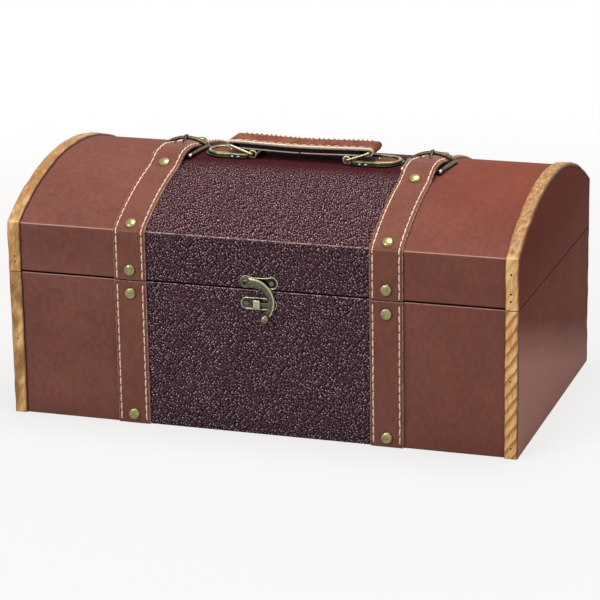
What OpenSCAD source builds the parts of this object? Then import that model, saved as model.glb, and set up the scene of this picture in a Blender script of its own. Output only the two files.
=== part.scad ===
// Domed keepsake trunk: a leather-covered board box with a hinged barrel lid,
// wooden edge strips, two stitched straps, a swing clasp and a carrying handle.
// The origin is the centre of the underside, +X is to the right seen from the
// front, -Y is the front and +Z is up. All sizes are in millimetres.

/* [Carcass] */
// Width over the leather of the two ends
chest_w = 420; // [380:1:480]
// Depth over the leather of the front and the back
chest_d = 248; // [220:1:280]
// Height of the seam between base and lid
base_h = 119.5; // [100:0.5:150]
// Height of the upright wall of the lid, from the seam to the crease
lid_wall_h = 40.2; // [32:0.1:60]
// Rise of the dome above the crease
dome_rise = 36.3; // [30:0.1:50]
// Thickness of the fibreboard walls
board_t = 8; // [6:0.5:10]
// Thickness of the bottom board
bottom_t = 6; // [4:0.5:9]
// Thickness of the bent plywood of the dome
dome_t = 4; // [3:0.5:6]
// Gap between the rims of the base boards and the lid boards
board_gap = 0.4; // [0.3:0.1:0.8]

/* [Coverings] */
// Thickness of the leather covering
leather_t = 0.8; // [0.5:0.1:1.2]
// Thickness of the cloth lining
lining_t = 0.6; // [0.4:0.1:1]
// Gap between the turned edges of the covering at the seam
cover_gap = 1; // [0.8:0.1:1.6]
// How far the edge of the embossed leather lies inside the middle of a strap
cover_lap = 5; // [3:0.5:8]

/* [Wooden edge strips] */
// Width of an edge strip
trim_w = 11; // [8:0.5:15]
// How far an edge strip stands above the leather
trim_t = 2.2; // [1.5:0.1:2.5]

/* [Straps] */
// Distance from the end of the chest to the middle of a strap
strap_inset = 104.5; // [94:0.5:108]
// Width of a strap
strap_w = 27; // [24:0.5:30]
// Thickness of a strap
strap_t = 2; // [1.6:0.1:2.4]
// Gap under a strap
strap_gap = 0.05; // [0.04:0.01:0.1]
// Gap between a tack head and the start of the hump over the buckle
hump_gap = 0.7; // [0.4:0.1:3]
// Where the strap lies down again behind the buckle, from the ridge line
hump_back = 24; // [20:0.5:30]
// Length of the flat top of the hump over the buckle bar
hump_flat = 6; // [5:0.5:7]

/* [Tacks] */
// Diameter of a domed tack head
tack_d = 9.6; // [7:0.1:10]
// Height of a tack head
tack_rise = 2.6; // [1.8:0.1:3.2]
// Diameter of a tack shank
tack_shank_d = 1.8; // [1.4:0.1:2.2]
// Distance of the tacks at the seam below the seam
tack_below_seam = 10.5; // [8:0.5:14]
// Distance of the tacks at the seam above the seam
tack_above_seam = 8.7; // [8:0.1:14]
// Height of the tacks at the foot of the straps
tack_foot = 8; // [7:0.5:12]
// Distance of the lower dome tacks from the crease, along the dome
tack_from_crease = 6; // [5.5:0.5:12]
// Distance of the upper dome tacks from the ridge line
tack_from_top = 44.5; // [44:0.5:60]

/* [Buckles] */
// Distance of the front bar from the ridge line
buckle_front = 24; // [23.5:0.5:25]
// Distance of the arched bar behind the ridge line
buckle_back = 11; // [9:0.5:13]
// How far the frame widens on each side from the front bar to the arched bar
buckle_flare = 3; // [2:0.1:4]
// Diameter of the front bar
buckle_bar_d = 2.6; // [2.2:0.1:2.8]
// Width of the flat side bars and the arched bar
buckle_flat_w = 3.2; // [2.6:0.1:3.6]
// Thickness of the flat side bars and the arched bar
buckle_flat_t = 2; // [1.6:0.1:2.2]
// Rise of the arched bar over its ends, above the strap's thickness
arch_room = 4.6; // [4.4:0.1:5.4]
// Width of the prong
prong_w = 2.6; // [2:0.1:3]
// Thickness of the prong
prong_t = 1.6; // [1.2:0.1:1.8]

/* [Handle brackets] */
// Gap between a bracket and the buckle beside it
bracket_gap = 1.4; // [1:0.1:4]
// Length of a bracket from its pivot to its outer end
bracket_l = 44; // [40:0.5:46]
// Width of the flange of a bracket beside its rim
flange_lip = 4; // [3.6:0.1:5]
// Thickness of the flange
flange_t = 0.9; // [0.8:0.1:1.2]
// Width over the raised rim of a bracket
rim_w = 27; // [25:0.5:27.5]
// Width of the bar that forms the rim
rim_bar = 3.5; // [3.3:0.1:4]
// Height of the rim above the flange
rim_h = 2.3; // [1.8:0.1:2.6]
// How far the flange reaches past the outer end of the rim
flange_margin = 1.4; // [1:0.1:2]
// Outer diameter of the rolled eye
eye_d = 6.4; // [6:0.1:6.6]
// Thickness of the leather pad inside the rim
pad_t = 1.1; // [0.8:0.1:1.6]

/* [Handle] */
// Diameter of the ring wire
ring_wire_d = 2.3; // [2:0.1:2.5]
// Distance between the middles of the two long bars of a ring
ring_reach = 20; // [19:0.5:21]
// Clearance between the side bars of a ring and the ends of the eye
ring_side_play = 0.95; // [0.8:0.05:1.5]
// Radius of the bends of a ring, to the middle of the wire
ring_bend = 2; // [1.6:0.1:2]
// Clearance between the eye of a bracket and the grip above it, at rest
grip_gap = 0.53; // [0.4:0.01:1]
// Width of the leather grip
grip_w = 26; // [24:0.5:27]
// Thickness of the leather grip
grip_t = 7; // [6.6:0.1:8]
// Thickness of leather that wraps a ring
grip_wrap = 2.1; // [1.8:0.1:2.6]
// How far the handle lifts
handle_travel = 8; // [6:0.5:8]
// Width of the filler inside the grip
filler_w = 18; // [14:0.5:20]
// Thickness of the filler inside the grip
filler_t = 2.4; // [1.6:0.1:3]

/* [Clasp] */
// Distance of the arm pivot left of the middle
clasp_pivot_x = 8.5; // [7:0.5:10]
// Height of the arm pivot above the seam
clasp_pivot_up = 6.2; // [6:0.1:9]
// Distance from the arm pivot to the screw of the upper plate
clasp_plate_reach = 21; // [19:0.5:24]
// Radius of the round ends of the upper plate
clasp_lobe_r = 5.2; // [4.6:0.1:5.4]
// Thickness of the clasp plates
clasp_plate_t = 1; // [0.8:0.1:1.2]
// Height of the middle of the keeper plate below the seam
keeper_drop = 11.1; // [10:0.1:14]
// Length of the keeper plate
keeper_l = 30; // [28:0.5:34]
// Height of the keeper plate
keeper_h = 10; // [8:0.5:12]
// Width of the raised keeper tab
tab_w = 6.6; // [5:0.1:7]
// Height of the raised keeper tab
tab_h = 7.4; // [6:0.1:8]
// Thickness of the swing arm
arm_t = 2; // [1.6:0.1:2.4]
// Width of the swing arm in its middle
arm_w = 6; // [5:0.1:7]
// Distance of the thumb ball below the keeper tab
ball_drop = 8; // [7:0.1:10]
// Diameter of the thumb ball at the end of the arm
arm_ball_d = 7.2; // [6:0.1:8]
// Diameter of the pivot rivet
rivet_d = 2.4; // [2:0.1:3]

/* [Hinges] */
// Gap between a back strap and the hinge beside it
hinge_gap = 15; // [5:1:30]
// Length of a hinge
hinge_l = 32; // [28:1:40]
// Height of one hinge leaf
hinge_leaf_h = 18; // [15:0.5:20]
// Thickness of a hinge leaf
hinge_leaf_t = 1; // [0.8:0.1:1.2]
// Diameter of the hinge barrel
hinge_barrel_d = 4.6; // [4.4:0.1:5]
// Diameter of the hinge pin
hinge_pin_d = 2.2; // [1.8:0.1:2.4]
// Opening angle at which the stop lips of a hinge meet, in degrees
hinge_stop = 102; // [95:1:115]
// How far the stop lips reach from the pin
hinge_lip_reach = 6.4; // [5.5:0.1:7]

/* [Screws] */
// Diameter of a small screw head
screw_head_d = 3.8; // [3.2:0.1:4.2]
// How far a screw head stands above its plate
screw_rise = 0.25; // [0.2:0.05:0.3]
// Diameter of a screw shank
screw_shank_d = 1.8; // [1.4:0.1:2.2]
// Length of a screw shank into the wood
screw_l = 5; // [4:0.5:7]
// Diameter of the round rivet heads of the brackets
stud_d = 3.2; // [2.6:0.1:3.4]
// Height of the round rivet heads of the brackets
stud_rise = 1; // [0.8:0.1:1.3]

/* [Fits] */
// Radial clearance of a pin or bar in its eye
pin_play = 0.05; // [0.04:0.01:0.08]
// Clearance between parts that slide past each other
slide_play = 0.4; // [0.3:0.05:0.5]
// Clearance of the ring bar in the loop of the grip
loop_play = 0.45; // [0.4:0.05:0.6]

/* [Hidden] */
$fn = 96;

// Overrun of every cut
cut = 1;

// Share of the dome board's thickness that a tack enters
tack_bite_share = 0.8;
// Share of the prong's thickness in the wall of its eye, and of a buckle bar's
// width by which the prong reaches past the arched bar
prong_eye_share = 0.7;
prong_end_share = 1.3;
// Ends of the slot for the prong, as shares of the front bar's distance
slot_share = [0.86, 0.04];
// Places of the two rivets of a bracket, as shares of its eye behind the pivot
stud_share = [1.8, 2.6];
// Share of the wrap's thickness in the returned end under a loop
grip_return_share = 0.7;
// Gap between hinge barrel and wall, as a share of the sliding clearance
hinge_gap_share = 0.75;
// Places of a hinge screw, as shares of the leaf's length and height
leaf_screw_share = [0.3, 0.6];
// Height of the clasp plate's waist, as a share of its end radius
plate_waist_share = 1.7;
// Sizes of the clasp rivet, as shares of the board, of its shank and of the plate
rivet_bore_share = 0.7;
rivet_head_share = 1.9;
rivet_cap_share = 0.7;
// Sizes of the swing arm, as shares of the plate's end radius, its own thickness
// and the keeper tab's height and width
arm_eye_share = 0.85;
tongue_t_share = 0.6;
tongue_h_share = 0.45;
tongue_in_share = 0.1;
// Shift of the keeper plate to the right, as a share of its tab's width
keeper_shift_share = 0.05;

half_w = chest_w / 2;
half_d = chest_d / 2;
crease_z = base_h + lid_wall_h;
top_z = crease_z + dome_rise;
dome_r = (half_d * half_d + dome_rise * dome_rise) / (2 * dome_rise);
dome_z = top_z - dome_r;
board_x = half_w - leather_t;
board_y = half_d - leather_t;
inner_x = board_x - board_t;
inner_y = board_y - board_t;
base_board_top = base_h - board_gap / 2;
lid_board_bottom = base_h + board_gap / 2;
base_cover_top = base_h - cover_gap / 2;
lid_cover_bottom = base_h + cover_gap / 2;
strap_x = half_w - strap_inset;
emboss_x = strap_x - cover_lap;

tack_r = tack_d / 2;
tack_ball_r = (tack_r * tack_r + tack_rise * tack_rise) / (2 * tack_rise);
tack_hole_r = tack_shank_d / 2 + pin_play;
tack_shank_l = strap_t + leather_t + dome_t * tack_bite_share;
strap_face_r = dome_r + strap_gap + strap_t;
crease_angle = asin(half_d / dome_r);
lower_tack_angle = crease_angle - tack_from_crease / dome_r * 180 / PI;
upper_tack_angle = asin(tack_from_top / strap_face_r);

// Height of the front buckle bar, and of the hump that clears the prong's eye
prong_eye_r = buckle_bar_d / 2 + pin_play + prong_t * prong_eye_share;
buckle_bar_h = prong_eye_r + slide_play;
hump_h = buckle_bar_h + prong_eye_r + slide_play / 2;

// The brackets lie beside the buckles, and the handle spans from pivot to pivot
buckle_front_w = strap_w + 2 * (buckle_flat_w + slide_play);
buckle_back_w = buckle_front_w + 2 * buckle_flare;
pivot_x = strap_x - buckle_back_w / 2 - bracket_gap - bracket_l;
flange_w = rim_w + 2 * flange_lip;
flange_z = top_z + slide_play / 2;
eye_z = flange_z + eye_d / 2;
wire_r = ring_wire_d / 2;
eye_l = grip_w + slide_play;
ring_w = eye_l + 2 * ring_side_play + ring_wire_d;
slot_h = ring_wire_d + 2 * loop_play;
ring_lift = eye_d / 2 + grip_gap + slot_h / 2 + grip_wrap * grip_return_share;
ring_run = sqrt(ring_reach * ring_reach - ring_lift * ring_lift);
ring_tilt = asin(ring_lift / ring_reach);
grip_z = eye_z + ring_lift;
// At the top of its travel the ring bar has moved inwards by this much
lifted_run = sqrt(ring_reach * ring_reach - pow(ring_lift + handle_travel, 2));
slot_in = pivot_x + lifted_run - wire_r - loop_play;
slot_out = pivot_x + ring_run + wire_r + loop_play;
grip_end = slot_out + grip_wrap;
// The loop sits low in the grip, because the returned end under it is thin
grip_bottom = grip_z - slot_h / 2 - grip_wrap * grip_return_share;
grip_top = grip_bottom + grip_t;

clasp_y = -half_d;
clasp_z = base_h + clasp_pivot_up;
keeper_z = base_h - keeper_drop;
arm_back = clasp_y - clasp_plate_t - slide_play;
arm_front = arm_back - arm_t;
tongue_t = arm_t * tongue_t_share;
tab_under = arm_back - tongue_t - slide_play;

hinge_x = strap_x + strap_w / 2 + hinge_gap + hinge_l / 2;
hinge_y = half_d + hinge_barrel_d / 2 + slide_play * hinge_gap_share;
hinge_z = base_h;
knuckle_l = hinge_l / 4;

// Points that the middle line of the swing arm passes, as shares of its reach to the
// right and of its drop, from the pivot
arm_drop = clasp_z - keeper_z + tab_h / 2 + ball_drop;
arm_share = [[0, 0], [0.38, 0.0145], [0.66, 0.087], [0.88, 0.246], [0.985, 0.449],
    [0.98, 0.652], [0.88, 0.855], [0.73, 1]];
// Shares of the arm's width along that line
arm_width_share = [1.42, 1.3, 1.14, 1, 0.95, 0.9, 0.78, 0.68];
ball_x = -clasp_pivot_x + arm_share[7][0] * clasp_plate_reach;
ball_z = clasp_z - arm_share[7][1] * arm_drop;

// A flat YZ outline pushed along X
module along_x(x, length) {
    translate([x, 0, 0])
        rotate([90, 0, 90])
            linear_extrude(length)
                children();
}

// A flat XZ outline pushed along Y
module along_y(y, length) {
    translate([0, y + length, 0])
        rotate([90, 0, 0])
            linear_extrude(length)
                children();
}

module box(low, high) {
    translate(low)
        cube([high[0] - low[0], high[1] - low[1], high[2] - low[2]]);
}

// The end outline of the lid, drawn in by inset from the leather, down to height z
module lid_outline(inset, z) {
    intersection() {
        translate([0, dome_z])
            circle(dome_r - inset, $fn = 360);
        translate([inset - half_d, z])
            square([chest_d - 2 * inset, top_z - inset - z + cut]);
    }
}

// Every tack place on one strap, as [y, z, tilt] on the face of the leather
function wall_tack(side, z) = [side * (half_d + strap_gap), z, -side * 90];
function dome_tack(side, angle) = [side * (dome_r + strap_gap) * sin(angle),
    dome_z + (dome_r + strap_gap) * cos(angle), -side * angle];
base_tack_places = [for (side = [-1, 1])
    for (z = [tack_foot, base_h - tack_below_seam]) wall_tack(side, z)];
lid_tack_places = concat([for (side = [-1, 1]) wall_tack(side, base_h + tack_above_seam)],
    [for (side = [-1, 1]) for (a = [lower_tack_angle, upper_tack_angle]) dome_tack(side, a)]);

module at_tacks(places) {
    for (side = [-1, 1])
        for (place = places)
            translate([side * strap_x, place[0], place[1]])
                rotate([place[2], 0, 0])
                    children();
}

module tack() {
    translate([0, 0, strap_t])
        intersection() {
            translate([0, 0, tack_rise - tack_ball_r])
                sphere(tack_ball_r);
            cylinder(r = tack_r, h = tack_rise);
        }
    translate([0, 0, strap_t - tack_shank_l])
        cylinder(d = tack_shank_d, h = tack_shank_l);
}

module tack_holes(places) {
    at_tacks(places)
        translate([0, 0, strap_t - tack_shank_l - pin_play])
            cylinder(r = tack_hole_r, h = tack_shank_l + cut);
}

// Base boards
module base_bottom_board() {
    color("tan")
        box([-inner_x, -inner_y, leather_t], [inner_x, inner_y, leather_t + bottom_t]);
}

module base_long_board(side) {
    y = side < 0 ? -board_y : inner_y;
    difference() {
        box([-board_x, y, leather_t], [board_x, y + board_t, base_board_top]);
        tack_holes(base_tack_places);
        screw_holes();
    }
}

module base_front_board() {
    color("tan")
        base_long_board(-1);
}

module base_back_board() {
    color("tan")
        base_long_board(1);
}

module base_end_board(side) {
    x = side < 0 ? -board_x : inner_x;
    box([x, -inner_y, leather_t], [x + board_t, inner_y, base_board_top]);
}

module base_left_board() {
    color("tan")
        base_end_board(-1);
}

module base_right_board() {
    color("tan")
        base_end_board(1);
}

// Base coverings: smooth leather round each end, embossed leather between the straps
module base_end_cover(side) {
    difference() {
        box([-half_w, -half_d, 0], [-emboss_x, half_d, base_cover_top]);
        box([-board_x, -board_y, -cut], [cut - emboss_x, board_y, base_cover_top + cut]);
        if (side < 0) {
            tack_holes(base_tack_places);
            screw_holes();
        }
        if (side > 0)
            mirror([1, 0, 0]) {
                tack_holes(base_tack_places);
                screw_holes();
            }
    }
}

module base_left_cover() {
    color([0.47, 0.28, 0.24])
        base_end_cover(-1);
}

module base_right_cover() {
    color([0.47, 0.28, 0.24])
        mirror([1, 0, 0])
            base_end_cover(1);
}

module base_middle_cover(y) {
    difference() {
        box([-emboss_x, y, 0], [emboss_x, y + leather_t, base_cover_top]);
        screw_holes();
    }
}

module base_front_embossed_cover() {
    color([0.25, 0.16, 0.19])
        base_middle_cover(-half_d);
}

module base_back_embossed_cover() {
    color([0.25, 0.16, 0.19])
        base_middle_cover(board_y);
}

module base_bottom_cover() {
    color([0.2, 0.12, 0.1])
        box([-board_x, -board_y, 0], [board_x, board_y, leather_t]);
}

module base_lining() {
    color([0.13, 0.12, 0.12])
        difference() {
            box([-inner_x, -inner_y, leather_t + bottom_t], [inner_x, inner_y, base_cover_top]);
            box([lining_t - inner_x, lining_t - inner_y, leather_t + bottom_t + lining_t],
                [inner_x - lining_t, inner_y - lining_t, base_cover_top + cut]);
        }
}

// Wooden edge strips
module base_trim(side_x, side_y) {
    x = side_x < 0 ? -half_w : half_w - trim_w;
    y = side_y < 0 ? -half_d - trim_t : half_d;
    color([0.78, 0.6, 0.33])
        box([x, y, 0], [x + trim_w, y + trim_t, base_cover_top]);
}

module lid_trim(side) {
    x = side < 0 ? -half_w : half_w - trim_w;
    color([0.78, 0.6, 0.33])
        along_x(x, trim_w)
            difference() {
                lid_outline(-trim_t, lid_cover_bottom);
                lid_outline(0, lid_cover_bottom - cut);
            }
}

// Straps
module base_strap(side_x, side_y) {
    x = side_x * strap_x - strap_w / 2;
    y = side_y < 0 ? -half_d - strap_gap - strap_t : half_d + strap_gap;
    color([0.55, 0.33, 0.27])
        difference() {
            box([x, y, 0], [x + strap_w, y + strap_t, base_cover_top]);
            tack_holes(base_tack_places);
        }
}

// Rise of the strap over the buckle's front bar, at a distance y from the ridge line
hump_start = tack_r + hump_gap - tack_from_top;
hump_rise_end = -buckle_front - hump_flat / 2;
hump_fall_start = hump_flat / 2 - buckle_front;
function ease(t) = (1 - cos(180 * min(1, max(0, t)))) / 2;
function hump(y) = hump_h * (y < hump_fall_start
    ? ease((y - hump_start) / (hump_rise_end - hump_start))
    : 1 - ease((y - hump_fall_start) / (hump_back - hump_fall_start)));

// One face of the lid strap, from the front seam over the dome to the back seam
dome_steps = 72;
function strap_face(lift) = let(
        face_y = half_d + strap_gap + lift,
        face_r = dome_r + strap_gap + lift,
        bend = asin(face_y / face_r))
    concat([[-face_y, lid_cover_bottom]],
        [for (i = [0:dome_steps]) let(
            a = bend * (2 * i / dome_steps - 1),
            r = face_r + hump(face_r * sin(a)))
            [r * sin(a), dome_z + r * cos(a)]],
        [[face_y, lid_cover_bottom]]);

module lid_strap(side) {
    under = strap_face(0);
    over = strap_face(strap_t);
    color([0.55, 0.33, 0.27])
        difference() {
            along_x(side * strap_x - strap_w / 2, strap_w)
                polygon(concat(over, [for (i = [len(under) - 1:-1:0]) under[i]]));
            tack_holes(lid_tack_places);
            prong_slot(side);
        }
}

// Buckles: a round front bar under the strap, flat sides and an arched back bar
front_bar_z = dome_z + sqrt(dome_r * dome_r - buckle_front * buckle_front) + buckle_bar_h;
arch_foot_z = dome_z + sqrt(dome_r * dome_r - buckle_back * buckle_back) + slide_play;
buckle_arch = strap_t + arch_room;
arch_half = buckle_back_w / 2 - buckle_flat_w / 2;
arch_r = (arch_half * arch_half + buckle_arch * buckle_arch) / (2 * buckle_arch);
arch_mid_z = arch_foot_z + buckle_flat_t + buckle_arch - arch_r;

module buckle(side) {
    color([0.45, 0.42, 0.28])
        translate([side * strap_x, 0, 0]) {
            translate([-buckle_front_w / 2, -buckle_front, front_bar_z])
                rotate([0, 90, 0])
                    cylinder(d = buckle_bar_d, h = buckle_front_w);
            for (hand = [-1, 1])
                buckle_side(hand);
            along_y(buckle_back - buckle_flat_w / 2, buckle_flat_w)
                intersection() {
                    difference() {
                        translate([0, arch_mid_z])
                            circle(arch_r);
                        translate([0, arch_mid_z])
                            circle(arch_r - buckle_flat_t);
                    }
                    translate([-buckle_back_w / 2, arch_foot_z])
                        square([buckle_back_w, buckle_arch + buckle_flat_t + cut]);
                }
        }
}

// One flat side bar, from the end of the front bar to the foot of the arch
module buckle_side(hand) {
    front_x = hand * (buckle_front_w / 2 - buckle_flat_w / 2);
    back_x = hand * arch_half;
    run_y = buckle_front + buckle_back;
    run = sqrt(pow(back_x - front_x, 2) + run_y * run_y);
    fall = front_bar_z - arch_foot_z - buckle_flat_t / 2;
    yaw = atan2(front_x - back_x, run_y);
    pitch = -atan2(fall, run);
    length = sqrt(run * run + fall * fall);
    translate([front_x, -buckle_front, front_bar_z])
        rotate([0, 0, yaw])
            rotate([pitch, 0, 0])
                translate([-buckle_flat_w / 2, -buckle_flat_w / 2, -buckle_flat_t / 2])
                    cube([buckle_flat_w, length + buckle_flat_w, buckle_flat_t]);
}

// The prong turns on the front bar, passes up through the strap and rests on the arch
prong_rise = arch_foot_z + buckle_flat_t + buckle_arch + pin_play + prong_t - front_bar_z - prong_eye_r;
prong_run = buckle_back - buckle_flat_w / 2 + buckle_front;
prong_pitch = atan2(prong_rise, prong_run);
prong_l = sqrt(prong_run * prong_run + prong_rise * prong_rise) + buckle_flat_w * prong_end_share;
slot_front_y = -buckle_front * slot_share[0];
slot_back_y = -buckle_front * slot_share[1];
module prongs() {
    color([0.45, 0.42, 0.28])
        for (side = [-1, 1])
            translate([side * strap_x - prong_w / 2, 0, 0])
                difference() {
                    union() {
                        translate([0, -buckle_front, front_bar_z])
                            rotate([0, 90, 0])
                                cylinder(r = prong_eye_r, h = prong_w);
                        translate([0, -buckle_front, front_bar_z + prong_eye_r - prong_t / 2])
                            rotate([prong_pitch, 0, 0])
                                translate([0, 0, -prong_t / 2])
                                    cube([prong_w, prong_l, prong_t]);
                    }
                    translate([-cut, -buckle_front, front_bar_z])
                        rotate([0, 90, 0])
                            cylinder(d = buckle_bar_d + 2 * pin_play, h = prong_w + 2 * cut);
                }
}

module prong_slot(side) {
    slot_w = prong_w + slide_play;
    translate([side * strap_x, 0, top_z - dome_rise / 2]) {
        translate([-slot_w / 2, slot_front_y, 0])
            cube([slot_w, slot_back_y - slot_front_y, dome_rise]);
        for (y = [slot_front_y, slot_back_y])
            translate([0, y, 0])
                cylinder(d = slot_w, h = dome_rise);
    }
}

// Tacks
module base_tacks() {
    color([0.6, 0.58, 0.4])
        at_tacks(base_tack_places)
            tack();
}

module lid_tacks() {
    color([0.6, 0.58, 0.4])
        at_tacks(lid_tack_places)
            tack();
}

// Lid boards
module under_dome() {
    translate([0, dome_z])
        circle(dome_r - leather_t - dome_t, $fn = 360);
}

module lid_long_board(side) {
    y = side < 0 ? -board_y : inner_y;
    difference() {
        along_x(-board_x, 2 * board_x)
            intersection() {
                under_dome();
                translate([y, lid_board_bottom])
                    square([board_t, top_z - lid_board_bottom]);
            }
        tack_holes(lid_tack_places);
        screw_holes();
    }
}

module lid_front_board() {
    color("tan")
        difference() {
            lid_long_board(-1);
            rivet_hole();
        }
}

module lid_back_board() {
    color("tan")
        lid_long_board(1);
}

module lid_end_board(side) {
    color("tan")
        along_x(side < 0 ? -board_x : inner_x, board_t)
            intersection() {
                under_dome();
                translate([-inner_y, lid_board_bottom])
                    square([2 * inner_y, top_z - lid_board_bottom]);
            }
}

module dome_board() {
    color("burlywood")
        difference() {
            along_x(-board_x, 2 * board_x)
                difference() {
                    lid_outline(leather_t, crease_z - lid_wall_h / 2);
                    under_dome();
                }
            tack_holes(lid_tack_places);
        }
}

// Lid coverings
module lid_skin(x, length) {
    difference() {
        along_x(x, length)
            difference() {
                lid_outline(0, lid_cover_bottom);
                lid_outline(leather_t, lid_cover_bottom - cut);
            }
        tack_holes(lid_tack_places);
        screw_holes();
        rivet_hole();
    }
}

module lid_left_cover() {
    color([0.56, 0.34, 0.29])
        lid_skin(-half_w, half_w - emboss_x);
}

module lid_right_cover() {
    color([0.56, 0.34, 0.29])
        lid_skin(emboss_x, half_w - emboss_x);
}

module lid_embossed_cover() {
    color([0.25, 0.16, 0.19])
        lid_skin(-emboss_x, 2 * emboss_x);
}

module lid_end_cover(side) {
    color([0.4, 0.22, 0.2])
        along_x(side < 0 ? -half_w : board_x, leather_t)
            lid_outline(leather_t, lid_cover_bottom);
}

module lining_outline(inset, z) {
    intersection() {
        translate([0, dome_z])
            circle(dome_r - leather_t - dome_t - inset, $fn = 360);
        translate([inset - inner_y, z])
            square([2 * (inner_y - inset), top_z - z]);
    }
}

module lid_lining() {
    color([0.13, 0.12, 0.12])
        difference() {
            along_x(-inner_x, 2 * inner_x)
                lining_outline(0, lid_cover_bottom);
            along_x(lining_t - inner_x, 2 * (inner_x - lining_t))
                lining_outline(lining_t, lid_cover_bottom - cut);
        }
}

// Handle brackets: a flange, a raised rim round a leather pad, and a rolled eye
module stadium(length, width) {
    for (x = [width / 2, length - width / 2])
        translate([x, 0])
            circle(d = width);
    translate([width / 2, -width / 2])
        square([length - width, width]);
}

rim_l = bracket_l - flange_margin;
stud_y = (flange_w + rim_w) / 4;
stud_x = [for (share = stud_share) pivot_x + eye_d * share];

module flange_outline() {
    difference() {
        translate([pivot_x + eye_d / 2, 0])
            stadium(bracket_l - eye_d / 2, flange_w);
        for (x = stud_x)
            for (hand = [-1, 1])
                translate([x, hand * stud_y])
                    circle(r = screw_shank_d / 2 + pin_play);
    }
}

module bracket(side) {
    color([0.5, 0.46, 0.3])
        mirror([side < 0 ? 1 : 0, 0, 0]) {
            difference() {
                translate([0, 0, flange_z])
                    linear_extrude(flange_t)
                        flange_outline();
                ring_swing();
            }
            difference() {
                union() {
                    translate([pivot_x, 0, flange_z])
                        linear_extrude(flange_t + rim_h)
                            difference() {
                                stadium(rim_l, rim_w);
                                translate([rim_bar, 0])
                                    stadium(rim_l - 2 * rim_bar, rim_w - 2 * rim_bar);
                                translate([-cut, -flange_w / 2])
                                    square([eye_d / 4 + cut, flange_w]);
                            }
                    translate([pivot_x, 0, flange_z])
                        linear_extrude(flange_t)
                            translate([0, -eye_l / 2])
                                square([eye_d, eye_l]);
                    translate([pivot_x, eye_l / 2, eye_z])
                        rotate([90, 0, 0])
                            cylinder(d = eye_d, h = eye_l);
                }
                translate([pivot_x, eye_l / 2 + cut, eye_z])
                    rotate([90, 0, 0])
                        cylinder(d = ring_wire_d + 2 * pin_play, h = eye_l + 2 * cut);
            }
        }
}

// Room beside the eye for the side bars of the ring
module ring_swing() {
    for (hand = [-1, 1])
        translate([pivot_x, hand * ring_w / 2, eye_z])
            rotate([90, 0, 0])
                cylinder(d = eye_d, h = ring_wire_d + 2 * slide_play, center = true);
}

module bracket_pad(side) {
    color([0.5, 0.3, 0.25])
        mirror([side < 0 ? 1 : 0, 0, 0])
            translate([pivot_x, 0, flange_z + flange_t])
                linear_extrude(pad_t)
                    intersection() {
                        translate([rim_bar + pin_play, 0])
                            stadium(rim_l - 2 * (rim_bar + pin_play),
                                rim_w - 2 * (rim_bar + pin_play));
                        translate([eye_d / 2 + pin_play + rim_bar / 2, -rim_w / 2])
                            square([bracket_l, rim_w]);
                    }
}

module bracket_rivets() {
    color([0.6, 0.62, 0.66])
        for (side = [-1, 1])
            for (x = stud_x)
                for (hand = [-1, 1])
                    translate([side * x, hand * stud_y, flange_z + flange_t]) {
                        stud_head();
                        translate([0, 0, -flange_t])
                            cylinder(d = screw_shank_d, h = flange_t);
                    }
}

module stud_head() {
    head_ball_r = (stud_d * stud_d / 4 + stud_rise * stud_rise) / (2 * stud_rise);
    intersection() {
        translate([0, 0, stud_rise - head_ball_r])
            sphere(head_ball_r);
        cylinder(d = stud_d, h = stud_rise);
    }
}

// Handle rings: bent wire, one bar in the eye and one in the loop of the grip
module handle_ring(side) {
    color([0.62, 0.58, 0.38])
        mirror([side < 0 ? 1 : 0, 0, 0])
            translate([pivot_x, 0, eye_z])
                rotate([0, -ring_tilt, 0]) {
                    for (x = [0, ring_reach])
                        translate([x, ring_w / 2 - ring_bend, 0])
                            rotate([90, 0, 0])
                                cylinder(r = wire_r, h = ring_w - 2 * ring_bend);
                    for (hand = [-1, 1])
                        translate([ring_bend, hand * ring_w / 2, 0])
                            rotate([0, 90, 0])
                                cylinder(r = wire_r, h = ring_reach - 2 * ring_bend);
                    ring_corner(ring_reach - ring_bend, 1, 0);
                    ring_corner(ring_bend, 1, 90);
                    ring_corner(ring_bend, -1, 180);
                    ring_corner(ring_reach - ring_bend, -1, 270);
                }
}

// A quarter bend of the wire, turned about the middle of its arc
module ring_corner(x, hand, turn) {
    translate([x, hand * (ring_w / 2 - ring_bend), 0])
        rotate([0, 0, turn])
            rotate_extrude(angle = 90)
                translate([ring_bend, 0])
                    circle(wire_r);
}

// Handle grip: leather folded round the ring bars, over a filler
module grip_outline() {
    end_r = grip_t / 2;
    difference() {
        union() {
            translate([end_r - grip_end, grip_bottom])
                square([2 * (grip_end - end_r), grip_t]);
            for (side = [-1, 1])
                translate([side * (grip_end - end_r), grip_bottom + end_r])
                    circle(end_r);
        }
        for (side = [-1, 1])
            mirror([side < 0 ? 1 : 0, 0])
                translate([slot_in, grip_z])
                    stadium(slot_out - slot_in, slot_h);
    }
}

filler_x = slot_in - grip_wrap;
filler_z = (grip_bottom + grip_top) / 2;

module filler_room(play) {
    box([-filler_x - play, -filler_w / 2 - play, filler_z - filler_t / 2 - play],
        [filler_x + play, filler_w / 2 + play, filler_z + filler_t / 2 + play]);
}

module handle_grip() {
    color([0.55, 0.32, 0.24])
        difference() {
            along_y(-grip_w / 2, grip_w)
                grip_outline();
            filler_room(pin_play);
        }
}

module grip_filler() {
    color([0.3, 0.28, 0.26])
        filler_room(0);
}

// Clasp on the lid: a two-lobed plate, its rivet and the swing arm
screw_plate_x = clasp_plate_reach - clasp_pivot_x;

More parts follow.
